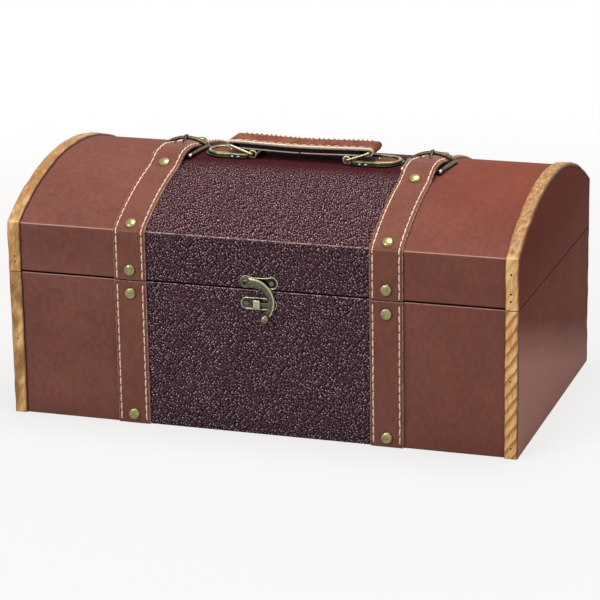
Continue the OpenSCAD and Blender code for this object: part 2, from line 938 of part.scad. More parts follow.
module clasp_plate() {
    color([0.5, 0.5, 0.36])
        difference() {
            along_y(clasp_y - clasp_plate_t, clasp_plate_t)
                union() {
                    for (x = [-clasp_pivot_x, screw_plate_x])
                        translate([x, clasp_z])
                            circle(clasp_lobe_r);
                    translate([-clasp_pivot_x, clasp_z - clasp_lobe_r])
                        square([clasp_plate_reach, clasp_lobe_r * plate_waist_share]);
                }
            rivet_hole();
            screw_holes();
        }
}

module rivet_hole() {
    bore_l = board_t * rivet_bore_share;
    translate([-clasp_pivot_x, clasp_y + bore_l, clasp_z])
        rotate([90, 0, 0])
            cylinder(d = rivet_d + 2 * pin_play, h = bore_l + clasp_plate_t + cut);
}

module clasp_rivet() {
    rivet_l = arm_t + 2 * slide_play + clasp_plate_t + board_t / 2;
    color([0.45, 0.42, 0.3])
        translate([-clasp_pivot_x, clasp_y + board_t / 2, clasp_z])
            rotate([90, 0, 0]) {
                cylinder(d = rivet_d, h = rivet_l);
                translate([0, 0, rivet_l])
                    cylinder(d = rivet_d * rivet_head_share, h = clasp_plate_t * rivet_cap_share);
            }
}

// The swing arm's outline is a ribbon along a smooth line through its share points
arm_steps = 4;
arm_last = len(arm_share) - 1;
function arm_knot(i) = let(share = arm_share[max(0, min(arm_last, i))])
    [share[0] * clasp_plate_reach, share[1] * arm_drop];
function arm_smooth(a, b, c, d, t) = 0.5 * (2 * b + (c - a) * t
    + (2 * a - 5 * b + 4 * c - d) * t * t + (3 * b - a - 3 * c + d) * t * t * t);
function arm_at(u) = let(i = min(arm_last - 1, floor(u)))
    arm_smooth(arm_knot(i - 1), arm_knot(i), arm_knot(i + 1), arm_knot(i + 2), u - i);
function arm_half(u) = let(i = min(arm_last - 1, floor(u)), t = u - i)
    arm_w / 2 * (arm_width_share[i] * (1 - t) + arm_width_share[i + 1] * t);
function arm_normal(u) = let(
        step = 1 / (2 * arm_steps),
        d = arm_at(min(arm_last, u + step)) - arm_at(max(0, u - step)),
        l = norm(d))
    [d[1] / l, -d[0] / l];
function arm_side(hand) = [for (k = [0:arm_last * arm_steps]) let(
        u = k / arm_steps,
        p = arm_at(u),
        n = arm_normal(u) * arm_half(u) * hand)
    [p[0] + n[0], -p[1] - n[1]]];

module clasp_arm() {
    outer = arm_side(-1);
    inner = arm_side(1);
    tongue_z = keeper_z - clasp_z;
    tongue_h = tab_h * tongue_h_share;
    color([0.55, 0.55, 0.4])
        difference() {
            union() {
                translate([-clasp_pivot_x, 0, clasp_z])
                    along_y(arm_front, arm_t)
                        union() {
                            polygon(concat(outer, [for (i = [len(inner) - 1:-1:0]) inner[i]]));
                            circle(clasp_lobe_r * arm_eye_share);
                        }
                translate([-clasp_pivot_x, 0, clasp_z])
                    along_y(arm_back - tongue_t, tongue_t)
                        translate([clasp_pivot_x - tab_w * tongue_in_share, tongue_z - tongue_h / 2])
                            square([clasp_plate_reach * arm_share[5][0] - clasp_pivot_x, tongue_h]);
                translate([ball_x, arm_back - arm_ball_d / 2, ball_z])
                    sphere(d = arm_ball_d);
            }
            translate([-clasp_pivot_x, arm_front - cut, clasp_z])
                rotate([-90, 0, 0])
                    cylinder(d = rivet_d + 2 * pin_play, h = arm_t + 2 * cut);
        }
}

// Keeper on the base: a plate with a raised tab that the tongue of the arm slides under
keeper_x = keeper_l / 2 - clasp_pivot_x - clasp_lobe_r + tab_w * keeper_shift_share;

module clasp_keeper() {
    tab_front = tab_under - clasp_plate_t;
    color([0.6, 0.58, 0.4])
        difference() {
            union() {
                along_y(clasp_y - clasp_plate_t, clasp_plate_t)
                    translate([keeper_x - keeper_l / 2, keeper_z])
                        stadium(keeper_l, keeper_h);
                box([-tab_w / 2, tab_front, keeper_z - tab_h / 2],
                    [tab_w / 2, tab_under, keeper_z + tab_h / 2]);
                box([-tab_w / 2, tab_front, keeper_z - tab_h / 2],
                    [clasp_plate_t - tab_w / 2, clasp_y, keeper_z + tab_h / 2]);
            }
            screw_holes();
        }
}

// Hinges on the back: leaves with knuckles, a pin, and lips that stop the lid
module knuckle(x, length) {
    translate([x, hinge_y, hinge_z])
        rotate([0, 90, 0])
            cylinder(d = hinge_barrel_d, h = length);
}

// One stop lip at a given angle above the +Y direction, on the far side of its stop face
module stop_lip(angle, hand, x, length, start) {
    translate([x, hinge_y, hinge_z])
        rotate([angle, 0, 0])
            translate([0, start, hand > 0 ? 0 : -hinge_leaf_t])
                cube([length, hinge_lip_reach - start, hinge_leaf_t]);
}

module pin_bore() {
    translate([-hinge_l, hinge_y, hinge_z])
        rotate([0, 90, 0])
            cylinder(d = hinge_pin_d + 2 * pin_play, h = 2 * hinge_l);
}

// A leaf plate, cut away round the other leaf's knuckles
module leaf_plate(low, high, gap_low, gap_high) {
    clear = hinge_barrel_d / 2 + slide_play;
    difference() {
        box([-hinge_l / 2, half_d, low], [hinge_l / 2, half_d + hinge_leaf_t, high]);
        for (i = [0:len(gap_low) - 1])
            box([gap_low[i], half_d - cut, hinge_z - clear],
                [gap_high[i], half_d + hinge_leaf_t + cut, hinge_z + clear]);
    }
}

lip_start = hinge_barrel_d / 2 + slide_play;
mid_low = knuckle_l - hinge_l / 2;
mid_high = hinge_l / 2 - knuckle_l;
knuckle_play = slide_play / 2;

module base_hinge_leaf(side) {
    color([0.5, 0.46, 0.3])
        difference() {
            translate([side * hinge_x, 0, 0])
                difference() {
                    union() {
                        leaf_plate(hinge_z - hinge_leaf_h, hinge_z, [mid_low], [mid_high]);
                        for (x = [-hinge_l / 2, mid_high]) {
                            knuckle(x, knuckle_l);
                            stop_lip(-hinge_stop / 2, -1, x, knuckle_l, hinge_barrel_d / 4);
                        }
                        stop_lip(-hinge_stop / 2, -1, -hinge_l / 2, hinge_l, lip_start);
                    }
                    pin_bore();
                }
            screw_holes();
        }
}

module lid_hinge_leaf(side) {
    low = mid_low + knuckle_play;
    high = mid_high - knuckle_play;
    color([0.5, 0.46, 0.3])
        difference() {
            translate([side * hinge_x, 0, 0])
                difference() {
                    union() {
                        leaf_plate(hinge_z, hinge_z + hinge_leaf_h, [-hinge_l / 2 - cut, high],
                            [low, hinge_l / 2 + cut]);
                        knuckle(low, high - low);
                        stop_lip(hinge_stop / 2, 1, low, high - low, hinge_barrel_d / 4);
                        stop_lip(hinge_stop / 2, 1, -hinge_l / 2, hinge_l, lip_start);
                    }
                    pin_bore();
                }
            screw_holes();
        }
}

module hinge_pins() {
    color([0.4, 0.37, 0.25])
        for (side = [-1, 1])
            translate([side * hinge_x - hinge_l / 2 - slide_play, hinge_y, hinge_z])
                rotate([0, 90, 0])
                    cylinder(d = hinge_pin_d, h = hinge_l + 2 * slide_play);
}

// Screw places, as [x, face y, z, side]: side is -1 on the front and 1 on the back
leaf_screw_x = hinge_l * leaf_screw_share[0];
leaf_screw_z = hinge_leaf_h * leaf_screw_share[1];
keeper_screw_x = keeper_l / 2 - keeper_h / 2;
base_screw_places = concat(
    [for (side = [-1, 1]) [keeper_x + side * keeper_screw_x, clasp_y - clasp_plate_t, keeper_z, -1]],
    [for (side = [-1, 1]) for (hand = [-1, 1])
        [side * hinge_x + hand * leaf_screw_x, half_d + hinge_leaf_t,
            hinge_z - leaf_screw_z, 1]]);
lid_screw_places = concat(
    [[screw_plate_x, clasp_y - clasp_plate_t, clasp_z, -1]],
    [for (side = [-1, 1]) for (hand = [-1, 1])
        [side * hinge_x + hand * leaf_screw_x, half_d + hinge_leaf_t,
            hinge_z + leaf_screw_z, 1]]);

module at_screws(places) {
    for (place = places)
        translate([place[0], place[1], place[2]])
            rotate([-90 * place[3], 0, 0])
                children();
}

module screw() {
    cylinder(d = screw_head_d, h = screw_rise);
    translate([0, 0, -screw_l])
        cylinder(d = screw_shank_d, h = screw_l + screw_rise / 2);
}

module screw_holes() {
    at_screws(concat(base_screw_places, lid_screw_places))
        translate([0, 0, -screw_l - pin_play])
            cylinder(d = screw_shank_d + 2 * pin_play, h = screw_l + 2 * pin_play + cut);
}

module base_screws() {
    color([0.55, 0.52, 0.38])
        at_screws(base_screw_places)
            screw();
}

module lid_screws() {
    color([0.55, 0.52, 0.38])
        at_screws(lid_screw_places)
            screw();
}

base_bottom_board();
base_front_board();
base_back_board();
base_left_board();
base_right_board();
base_left_cover();
base_right_cover();
base_front_embossed_cover();
base_back_embossed_cover();
base_bottom_cover();
base_lining();
base_trim(-1, -1);  // base_trim_front_left
base_trim(1, -1);  // base_trim_front_right
base_trim(-1, 1);  // base_trim_back_left
base_trim(1, 1);  // base_trim_back_right
base_strap(-1, -1);  // base_strap_front_left
base_strap(1, -1);  // base_strap_front_right
base_strap(-1, 1);  // base_strap_back_left
base_strap(1, 1);  // base_strap_back_right
base_tacks();
clasp_keeper();
base_screws();
base_hinge_leaf(-1);  // base_hinge_leaf_left
base_hinge_leaf(1);  // base_hinge_leaf_right
hinge_pins();
lid_front_board();
lid_back_board();
lid_end_board(-1);  // lid_left_board
lid_end_board(1);  // lid_right_board
dome_board();
lid_left_cover();
lid_right_cover();
lid_end_cover(-1);  // lid_left_end_cover
lid_end_cover(1);  // lid_right_end_cover
lid_embossed_cover();
lid_lining();
lid_trim(-1);  // lid_trim_left
lid_trim(1);  // lid_trim_right
lid_strap(-1);  // lid_strap_left
lid_strap(1);  // lid_strap_right
lid_tacks();
buckle(-1);  // buckle_left
buckle(1);  // buckle_right
prongs();  // buckle_prongs
clasp_plate();
clasp_rivet();
lid_screws();
bracket(-1);  // bracket_left
bracket(1);  // bracket_right
bracket_pad(-1);  // bracket_pad_left
bracket_pad(1);  // bracket_pad_right
bracket_rivets();
lid_hinge_leaf(-1);  // lid_hinge_leaf_left
lid_hinge_leaf(1);  // lid_hinge_leaf_right
clasp_arm();
handle_ring(-1);  // handle_ring_left
handle_ring(1);  // handle_ring_right
handle_grip();
grip_filler();
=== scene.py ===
import math
import random

import bmesh
import bpy
from mathutils import Matrix, Vector, noise


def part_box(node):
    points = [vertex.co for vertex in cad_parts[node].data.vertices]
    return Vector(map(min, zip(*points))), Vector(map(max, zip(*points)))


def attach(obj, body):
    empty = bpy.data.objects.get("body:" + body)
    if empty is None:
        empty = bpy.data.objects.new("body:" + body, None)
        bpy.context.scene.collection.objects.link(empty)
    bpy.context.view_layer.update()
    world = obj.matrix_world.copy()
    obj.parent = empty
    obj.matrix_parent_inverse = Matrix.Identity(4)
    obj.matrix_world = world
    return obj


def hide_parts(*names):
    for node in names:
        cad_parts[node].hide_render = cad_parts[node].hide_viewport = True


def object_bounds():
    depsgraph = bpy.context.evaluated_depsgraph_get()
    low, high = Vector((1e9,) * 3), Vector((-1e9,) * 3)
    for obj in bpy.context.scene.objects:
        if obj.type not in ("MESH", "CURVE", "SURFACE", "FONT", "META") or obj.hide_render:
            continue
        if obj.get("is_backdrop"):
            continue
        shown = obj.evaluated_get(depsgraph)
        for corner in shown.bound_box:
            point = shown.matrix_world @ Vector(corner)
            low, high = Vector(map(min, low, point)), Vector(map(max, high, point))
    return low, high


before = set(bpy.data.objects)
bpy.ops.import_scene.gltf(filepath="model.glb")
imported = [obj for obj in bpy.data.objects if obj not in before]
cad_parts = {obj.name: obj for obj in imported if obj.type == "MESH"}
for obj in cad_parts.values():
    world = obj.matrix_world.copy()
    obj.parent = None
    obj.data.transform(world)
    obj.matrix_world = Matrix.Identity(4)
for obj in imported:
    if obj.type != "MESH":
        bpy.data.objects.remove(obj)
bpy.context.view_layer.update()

# Photographer's set: a white floor, large soft lamps overhead and at the front left, a weak
# one on the right, and a long lens that looks slightly down at the front and the right end.
mm = 0.001
view_azimuth = math.radians(18.314)
view_elevation = math.radians(17.037)
view_roll = math.radians(-0.9056)
view_distance = 2.2134
aim_height = 105 * mm
aim_right = -4.96 * mm
aim_up = -29.15 * mm
lens_length = 161.24
floor_paper = (0.62, 0.61, 0.6)
floor_size = 14
floor_glow_near = 0.72
floor_glow_start = 0.35
floor_glow_full = 1.1
sky_light = 0.25
lamp_aim = Vector((0, 0, 80 * mm))


def srgb(red, green, blue):
    """A screen colour, from 0 to 255, as the linear colour that a shader takes."""
    parts = [v / 255 for v in (red, green, blue)]
    return tuple(((v + 0.055) / 1.055) ** 2.4 if v > 0.04 else v / 12.92 for v in parts) + (1,)


def place_camera():
    """A long lens that looks at the chest from its front right, a little above."""
    back = Vector((math.sin(view_azimuth) * math.cos(view_elevation),
                   -math.cos(view_azimuth) * math.cos(view_elevation), math.sin(view_elevation)))
    level = Vector((0, 0, 1)).cross(back).normalized()
    upright = back.cross(level)
    right = math.cos(view_roll) * level + math.sin(view_roll) * upright
    up = math.cos(view_roll) * upright - math.sin(view_roll) * level
    spot = Vector((0, 0, aim_height)) + view_distance * back + aim_right * right + aim_up * up
    camera = bpy.data.objects.new("camera", bpy.data.cameras.new("camera"))
    camera.data.lens = lens_length
    camera.data.sensor_width = 36
    camera.data.clip_start = 0.05
    camera.data.clip_end = 50
    camera.matrix_world = Matrix.Translation(spot) @ Matrix((right, up, back)).transposed().to_4x4()
    bpy.context.scene.collection.objects.link(camera)
    bpy.context.scene.camera = camera


def softbox(name, spot, width, height, watts, colour=(1, 1, 1)):
    """A rectangular soft lamp at spot that faces the chest."""
    lamp = bpy.data.lights.new(name, "AREA")
    lamp.shape = "RECTANGLE"
    lamp.size, lamp.size_y = width, height
    lamp.energy = watts
    lamp.color = colour
    holder = bpy.data.objects.new(name, lamp)
    holder.location = spot
    holder.rotation_euler = (Vector(spot) - lamp_aim).to_track_quat("Z", "Y").to_euler()
    bpy.context.scene.collection.objects.link(holder)


def feed(tree, socket, value):
    """Gives a socket a value of its own or the output of another node."""
    if isinstance(value, bpy.types.NodeSocket):
        tree.links.new(value, socket)
    else:
        socket.default_value = value


def add_node(tree, kind, inputs, **settings):
    """A shader node with its settings, and with its inputs by name or number."""
    made = tree.nodes.new("ShaderNode" + kind)
    for name, value in settings.items():
        setattr(made, name, value)
    for socket, value in inputs.items():
        feed(tree, made.inputs[socket], value)
    return made


def seen_directly(tree):
    """A value of 1 for what the camera, glossy metal and glass see, and 0 for diffuse light."""
    path = add_node(tree, "LightPath", {})
    total = path.outputs["Is Camera Ray"]
    for ray in ("Is Glossy Ray", "Is Transmission Ray"):
        total = add_node(tree, "Math", {0: total, 1: path.outputs[ray]}, operation="ADD",
                         use_clamp=True).outputs[0]
    return total


def light_the_sky():
    """A white surround that shows white and lights the chest only faintly."""
    world = bpy.data.worlds.new("sky")
    bpy.context.scene.world = world
    world.use_nodes = True
    tree = world.node_tree
    dim = tree.nodes["Background"]
    dim.inputs["Color"].default_value = (1, 1, 1, 1)
    dim.inputs["Strength"].default_value = sky_light
    bright = add_node(tree, "Background", {"Color": (1, 1, 1, 1)})
    either = add_node(tree, "MixShader", {0: seen_directly(tree), 1: dim.outputs[0],
                                          2: bright.outputs[0]})
    tree.links.new(either.outputs[0], tree.nodes["World Output"].inputs["Surface"])


def lay_floor():
    """A pale floor that fades into the surround away from the chest."""
    half = floor_size / 2
    mesh = bpy.data.meshes.new("floor")
    mesh.from_pydata([(-half, -half, 0), (half, -half, 0), (half, half, 0), (-half, half, 0)],
                     [], [(0, 1, 2, 3)])
    floor = bpy.data.objects.new("floor", mesh)
    bpy.context.scene.collection.objects.link(floor)
    paint = bpy.data.materials.new("floor_paper")
    paint.use_nodes = True
    tree = paint.node_tree
    tree.nodes.remove(tree.nodes["Principled BSDF"])
    matt = add_node(tree, "BsdfDiffuse", {"Color": (*floor_paper, 1)})
    glow = add_node(tree, "Emission", {})
    place = add_node(tree, "TexCoord", {})
    reach = add_node(tree, "VectorMath", {0: place.outputs["Object"]}, operation="LENGTH")
    spread = add_node(tree, "MapRange", {"Value": reach.outputs["Value"],
                                         "From Min": floor_glow_start,
                                         "From Max": floor_glow_full,
                                         "To Min": floor_glow_near, "To Max": 1.0},
                      interpolation_type="SMOOTHSTEP")
    share = add_node(tree, "Math", {0: seen_directly(tree), 1: spread.outputs[0]},
                     operation="MULTIPLY")
    either = add_node(tree, "MixShader", {0: share.outputs[0], 1: matt.outputs[0],
                                          2: glow.outputs[0]})
    tree.links.new(either.outputs[0], tree.nodes["Material Output"].inputs["Surface"])
    mesh.materials.append(paint)
    floor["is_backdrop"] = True


place_camera()
light_the_sky()
lay_floor()
softbox("lamp_left", spot=(-1.2, -2.0, 1.7), width=1.3, height=1.0, watts=30.5)
softbox("lamp_top", spot=(0.2, 0.1, 2.3), width=1.6, height=1.2, watts=51,
        colour=(1, 0.935, 0.84))
softbox("lamp_right", spot=(2.2, -1.2, 1.0), width=0.9, height=1.1, watts=4.5,
        colour=(1, 0.97, 0.93))
bpy.context.scene.view_settings.view_transform = "Standard"

# Raw carcass: the bottom and the walls of base and lid in fibreboard, glued and nailed, and
# the dome of bent plywood. All of it is hidden under leather and lining.
board_tan = srgb(186, 152, 108)
board_brown = srgb(138, 104, 70)
plywood_pale = srgb(206, 172, 124)


class Finish:
    """A procedural material: its shader, and the texture nodes that feed it."""

    def __init__(self, name, colour, roughness, metallic=0.0, **sockets):
        self.material = bpy.data.materials.new(name)
        self.material.use_nodes = True
        self.tree = self.material.node_tree
        self.shader = self.tree.nodes["Principled BSDF"]
        self.shader.inputs["Roughness"].default_value = roughness
        self.shader.inputs["Metallic"].default_value = metallic
        for socket, value in sockets.items():
            self.shader.inputs[socket.replace("_", " ")].default_value = value
        where = add_node(self.tree, "TexCoord", {})
        self.place = where.outputs["Object"]
        self.facing = where.outputs["Normal"]
        self.colour = colour

    def to(self, socket, value):
        """Feeds one of the shader's own sockets."""
        feed(self.tree, self.shader.inputs[socket], value)

    def stretched(self, across, deep, high, turn=(0, 0, 0), place=None):
        """The place on the piece, counted in texture sizes given in millimetres."""
        turned = add_node(self.tree, "Mapping", {"Vector": place or self.place,
                                                 "Rotation": [math.radians(a) for a in turn]})
        scale = [1 / (mm * size) for size in (across, deep, high)]
        sized = add_node(self.tree, "Mapping", {"Vector": turned.outputs[0], "Scale": scale})
        return sized.outputs[0]

    def even(self, size):
        """The place counted in texture sizes that are the same in every direction."""
        return self.stretched(size, size, size)

    def along(self, vector, axis):
        """The X, Y or Z part of a place or of a direction."""
        return add_node(self.tree, "SeparateXYZ", {0: vector}).outputs[axis]

    def cloud(self, place, detail=2.0, roughness=0.5):
        """Soft noise from 0 to 1 at a place."""
        return add_node(self.tree, "TexNoise", {"Vector": place, "Scale": 1, "Detail": detail,
                                                "Roughness": roughness}).outputs["Fac"]

    def cells(self, place):
        """Distance from the middle of irregular cells with soft borders."""
        return add_node(self.tree, "TexVoronoi", {"Vector": place, "Scale": 1, "Smoothness": 0.6},
                        feature="SMOOTH_F1").outputs["Distance"]

    def span(self, value, low, high, new_low=0.0, new_high=1.0):
        """Spreads the stretch of a value from low to high over a new stretch."""
        return add_node(self.tree, "MapRange", {"Value": value, "From Min": low, "From Max": high,
                                                "To Min": new_low, "To Max": new_high}).outputs[0]

    def maths(self, kind, one, other):
        return add_node(self.tree, "Math", {0: one, 1: other}, operation=kind).outputs[0]

    def times(self, one, other):
        return self.maths("MULTIPLY", one, other)

    def plus(self, one, other):
        return self.maths("ADD", one, other)

    def mixed(self, share, under, over):
        """Two colours mixed by a share."""
        return add_node(self.tree, "Mix", {0: share, 6: under, 7: over},
                        data_type="RGBA").outputs[2]

    def coat(self, share, colour):
        """Lays a colour over the colour so far, by a share."""
        self.colour = self.mixed(share, self.colour, colour)
        self.to("Base Color", self.colour)

    def layer(self, colour, value, low, high, strength=1.0):
        """Lays a colour where a value passes from low to high, as far as the strength."""
        self.coat(self.span(value, low, high, 0, strength), colour)

    def mark(self, name):
        """A value from 0 to 1 that a piece carries on its points, such as its cut edge."""
        return add_node(self.tree, "Attribute", {}, attribute_name=name).outputs["Fac"]

    def relief(self, height, depth, strength=1.0):
        """Bumps the surface by a height from 0 to 1 that stands for depth millimetres."""
        bump = add_node(self.tree, "Bump", {"Strength": strength, "Distance": depth * mm,
                                            "Height": height})
        self.to("Normal", bump.outputs[0])


def board_finish(name, light, dark, across, deep, high):
    """Bare board with darker flecks, across by deep by high millimetres."""
    finish = Finish(name, light, 0.85)
    fleck = finish.cloud(finish.stretched(across, deep, high), 4)
    broad = finish.cloud(finish.stretched(40, 40, 12))
    finish.coat(finish.times(finish.span(fleck, 0.35, 0.7), finish.span(broad, 0.2, 0.8)), dark)
    finish.relief(fleck, 0.12)
    return finish.material


def dress(nodes, material, wear=0.0):
    """Gives CAD nodes that stay as they are a finish, and rounds their edges by their wear."""
    for node in nodes:
        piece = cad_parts[node]
        piece.data.materials.clear()
        piece.data.materials.append(material)
        if wear:
            soften = piece.modifiers.new("worn_edges", "BEVEL")
            soften.width = wear
            soften.segments = 2
            soften.limit_method = "ANGLE"


dress([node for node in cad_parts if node.endswith("_board")],
      board_finish("fibreboard", board_tan, board_brown, 1.2, 1.2, 0.5))
dress(["dome_board"], board_finish("bent_plywood", plywood_pale, board_brown, 24, 0.8, 0.8))
chest_low, chest_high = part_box("base_left_cover")
half_width = -chest_low.x
half_depth = -chest_low.y
base_rim = chest_high.z
lid_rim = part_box("lid_left_cover")[0].z
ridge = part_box("lid_embossed_cover")[1].z
crease = 159.7 * mm
dome_rise = ridge - crease
dome_radius = (half_depth ** 2 + dome_rise ** 2) / (2 * dome_rise)
dome_centre = ridge - dome_radius

# Smooth leather: thin brown leather glued over both ends of the base and of the lid, and worked
# round the corners. It is rubbed pale along the seam and the lid's crease, partly as a painted
# highlight. Its ends carry painted shade high up and, low down, a painted sheen that stands for the
# floor's reflection.
leather_brown = srgb(127, 84, 76)
leather_dark = srgb(106, 66, 61)
leather_red = srgb(148, 86, 72)
leather_olive = srgb(113, 83, 71)
leather_pale_wear_and_sheen = srgb(200, 156, 146)
leather_tan = srgb(128, 60, 44)
leather_end_shade = srgb(104, 56, 47)
seam_shade_colour = srgb(26, 13, 14)
cover_thickness = 0.8 * mm
cover_edge = 0.7 * mm
crease_radius = 1.0 * mm
corner_radius = 2.2 * mm
fold_line = 0.6 * mm
side_edge = 0.3 * mm
rim_turn = 0.7 * mm
end_crease = 0.4 * mm
warm_from, warm_full = 80 * mm, 160 * mm
end_shade_from, end_shade_full = 95 * mm, 160 * mm
sheen_top, sheen_full = 76 * mm, 38 * mm
rub_depth = 1.5 * mm
seam_shade_depth = 1.1 * mm
seam_shade_fade = 0.5 * mm


def leather_finish(name, colour, dark, red, olive, rubbed_and_highlit, roughness=0.46):
    """Mottled leather, warmer to the right, with painted shade high on the ends and a painted sheen
    low on them, and rubbed pale at its edges and folds, partly as a painted highlight."""
    finish = Finish(name, colour, roughness, Specular_IOR_Level=0.001)
    broad = finish.cloud(finish.stretched(60, 60, 45), 3)
    patch = finish.cloud(finish.even(16), 4, 0.6)
    tint = finish.cloud(finish.stretched(24, 24, 16, (20, 0, 0)), 3)
    mottle = finish.cloud(finish.stretched(4, 4, 6), 4, 0.65)
    finish.layer(dark, broad, 0.3, 0.7, 0.7)
    finish.layer(red, patch, 0.45, 0.8, 0.4)
    finish.layer(olive, tint, 0.5, 0.78, 0.5)
    finish.layer(dark, mottle, 0.46, 0.72, 0.6)
    finish.layer(red, mottle, 0.48, 0.3, 0.35)
    height = finish.along(finish.place, "Z")
    warmer = finish.span(finish.along(finish.place, "X"), warm_from, warm_full)
    finish.coat(finish.times(warmer, finish.span(height, crease - 1 * mm, ridge, 0.1, 0.5)),
                leather_tan)
    # Painted shade high on both ends, and below it a painted sheen that stands for the floor's
    # reflection.
    end = finish.span(finish.maths("ABSOLUTE", finish.along(finish.facing, "X"), 0), 0.6, 0.9)
    finish.coat(finish.times(end, finish.span(height, end_shade_from, end_shade_full, 0, 0.7)),
                leather_end_shade)
    slope = finish.times(finish.along(finish.place, "Y"), 0.3)
    painted_sheen = finish.span(finish.plus(height, slope), sheen_top, sheen_full, 0, 0.52)
    finish.coat(finish.times(end, painted_sheen), rubbed_and_highlit)
    grain = finish.cells(finish.even(0.9))
    pore = finish.cloud(finish.even(0.45), 3)
    finish.layer(dark, pore, 0.55, 0.8, 0.3)
    # Pale at the rim and the crease: rubbed wear, and a painted highlight on their rounding.
    finish.coat(finish.maths("MAXIMUM", finish.span(finish.mark("edge"), 0.0, 0.5, 0.0, 0.75),
                             finish.times(finish.mark("fold"), 0.9)), rubbed_and_highlit)
    # Painted shade along the lower rim of the lid, by the seam.
    finish.coat(finish.mark("seam_shade"), seam_shade_colour)
    finish.to("Roughness", finish.span(patch, 0.3, 0.8, roughness - 0.05, roughness + 0.08))
    finish.relief(finish.plus(finish.times(grain, 0.6), finish.times(pore, 0.4)), 0.05, 0.6)
    return finish.material


def add_piece(name, shape, material, marks=None, sharp=42):
    """A mesh object from points and faces, smooth but for its sharp edges, with marks on its
    points that the finish reads."""
    points, faces = shape
    mesh = bpy.data.meshes.new(name)
    mesh.from_pydata([tuple(p) for p in points], [], faces)
    for mark, values in (marks or {}).items():
        mesh.attributes.new(mark, "FLOAT", "POINT").data.foreach_set("value", values)
    work = bmesh.new()
    work.from_mesh(mesh)
    bmesh.ops.recalc_face_normals(work, faces=work.faces)
    work.to_mesh(mesh)
    work.free()
    mesh.materials.append(material)
    mesh.shade_smooth()
    mesh.set_sharp_from_angle(angle=math.radians(sharp))
    piece = bpy.data.objects.new(name, mesh)
    bpy.context.scene.collection.objects.link(piece)
    return piece


def fix(piece, body, slot, *nodes):
    """Fixes a finished piece to its body, and lets it stand for the CAD nodes it details."""
    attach(piece, body)
    if nodes:
        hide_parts(*nodes)


def turn_steps(start, stop, steps):
    """Even angles from start to stop, both in degrees, as radians."""
    return [math.radians(start + (stop - start) * i / steps) for i in range(steps + 1)]


def arc(u, v, radius, start, stop, steps):
    """Points of an arc round a middle at u, v, from one angle to another in degrees."""
    return [(u + radius * math.cos(a), v + radius * math.sin(a))
            for a in turn_steps(start, stop, steps)]


def per_loop(values, count):
    """One value for each loop of a shape, repeated for the points of the loop."""
    return [value for value in values for _ in range(count)]


def lofted(loops, closed_ring=False):
    """Points and faces between loops of equal count. A closed ring joins its last to its
    first, and otherwise the two end loops are filled."""
    count = len(loops[0])
    points = [p for loop in loops for p in loop]
    pairs = len(loops) if closed_ring else len(loops) - 1
    faces = []
    for r in range(pairs):
        after = (r + 1) % len(loops)
        faces += [[r * count + k, r * count + (k + 1) % count, after * count + (k + 1) % count,
                   after * count + k] for k in range(count)]
    if not closed_ring:
        faces.append(list(range(count)))
        faces.append(list(range(len(points) - count, len(points))))
    return points, faces


def outward(line, plane, hand=1):
    """Unit normals of a line that lies in a plane, on its left for hand 1."""
    a, b = plane
    found = []
    for i, spot in enumerate(line):
        run = Vector((0, 0, 0))
        if i:
            run += (spot - line[i - 1]).normalized()
        if i < len(line) - 1:
            run += (line[i + 1] - spot).normalized()
        out = Vector((0, 0, 0))
        out[a], out[b] = -run[b] * hand, run[a] * hand
        found.append(out.normalized())
    return found


def band_section(low, high, thickness, edge, inset, rows):
    """Section of a strip as (across, up, edge mark), from one foot over to the other."""
    low, high, top = low + inset, high - inset, thickness - inset
    radius = min(max(edge - inset, edge * 0.15), top)
    half = [(0.0, 0.0, 1.0)]
    for t, mark in zip(turn_steps(0, 90, 4), (1.0, 1.0, 0.7, 0.35, 0.0)):
        half.append((radius * (1 - math.cos(t)), top - radius * (1 - math.sin(t)), mark))
    flat = [(radius + (high - low - 2 * radius) * row / rows, top, 0.0) for row in range(1, rows)]
    return ([(low + s, t, m) for s, t, m in half] + [(low + s, t, m) for s, t, m in flat]
            + [(high - s, t, m) for s, t, m in reversed(half)])


def band_shape(line, normals, across, low, high, thickness, edge, rows=4, end=None, shake=0.0,
               worn=None):
    """A strip laid along a line, from low to high across it, with rounded edges and ends.
    low, high and thickness may be rules of the share of the way along. worn is filled with
    the edge mark of each point."""
    end = edge if end is None else end
    last = len(line) - 1
    value = lambda v, share: v(share) if callable(v) else v
    stops = []
    for at, sense in ((0, 1), (last, -1)):
        along = (line[at + sense] - line[at]).normalized()
        stops.append([(line[at] + along * end * (1 - math.cos(t)), normals[at],
                       end * (1 - math.sin(t)), at / last, 1.0 - step / 4)
                      for step, t in enumerate(turn_steps(0, 90, 4))])
    middle = [(line[i], normals[i], 0.0, i / last, 0.0) for i in range(1, last)]
    loops = []
    for spot, normal, inset, share, end_mark in stops[0] + middle + stops[1][::-1]:
        loop = []
        for s, t, m in band_section(value(low, share), value(high, share),
                                    value(thickness, share), edge, inset, rows):
            point = spot + across * s + normal * t
            if shake:
                point += normal * (t * noise.noise(point / (9 * mm)) * shake / (2 * mm))
                point += across * (noise.noise(point / (14 * mm) + Vector((7, 0, 0))) * shake)
            loop.append(point)
            if worn is not None:
                worn.append(max(m, end_mark))
        loops.append(loop)
    return lofted(loops)


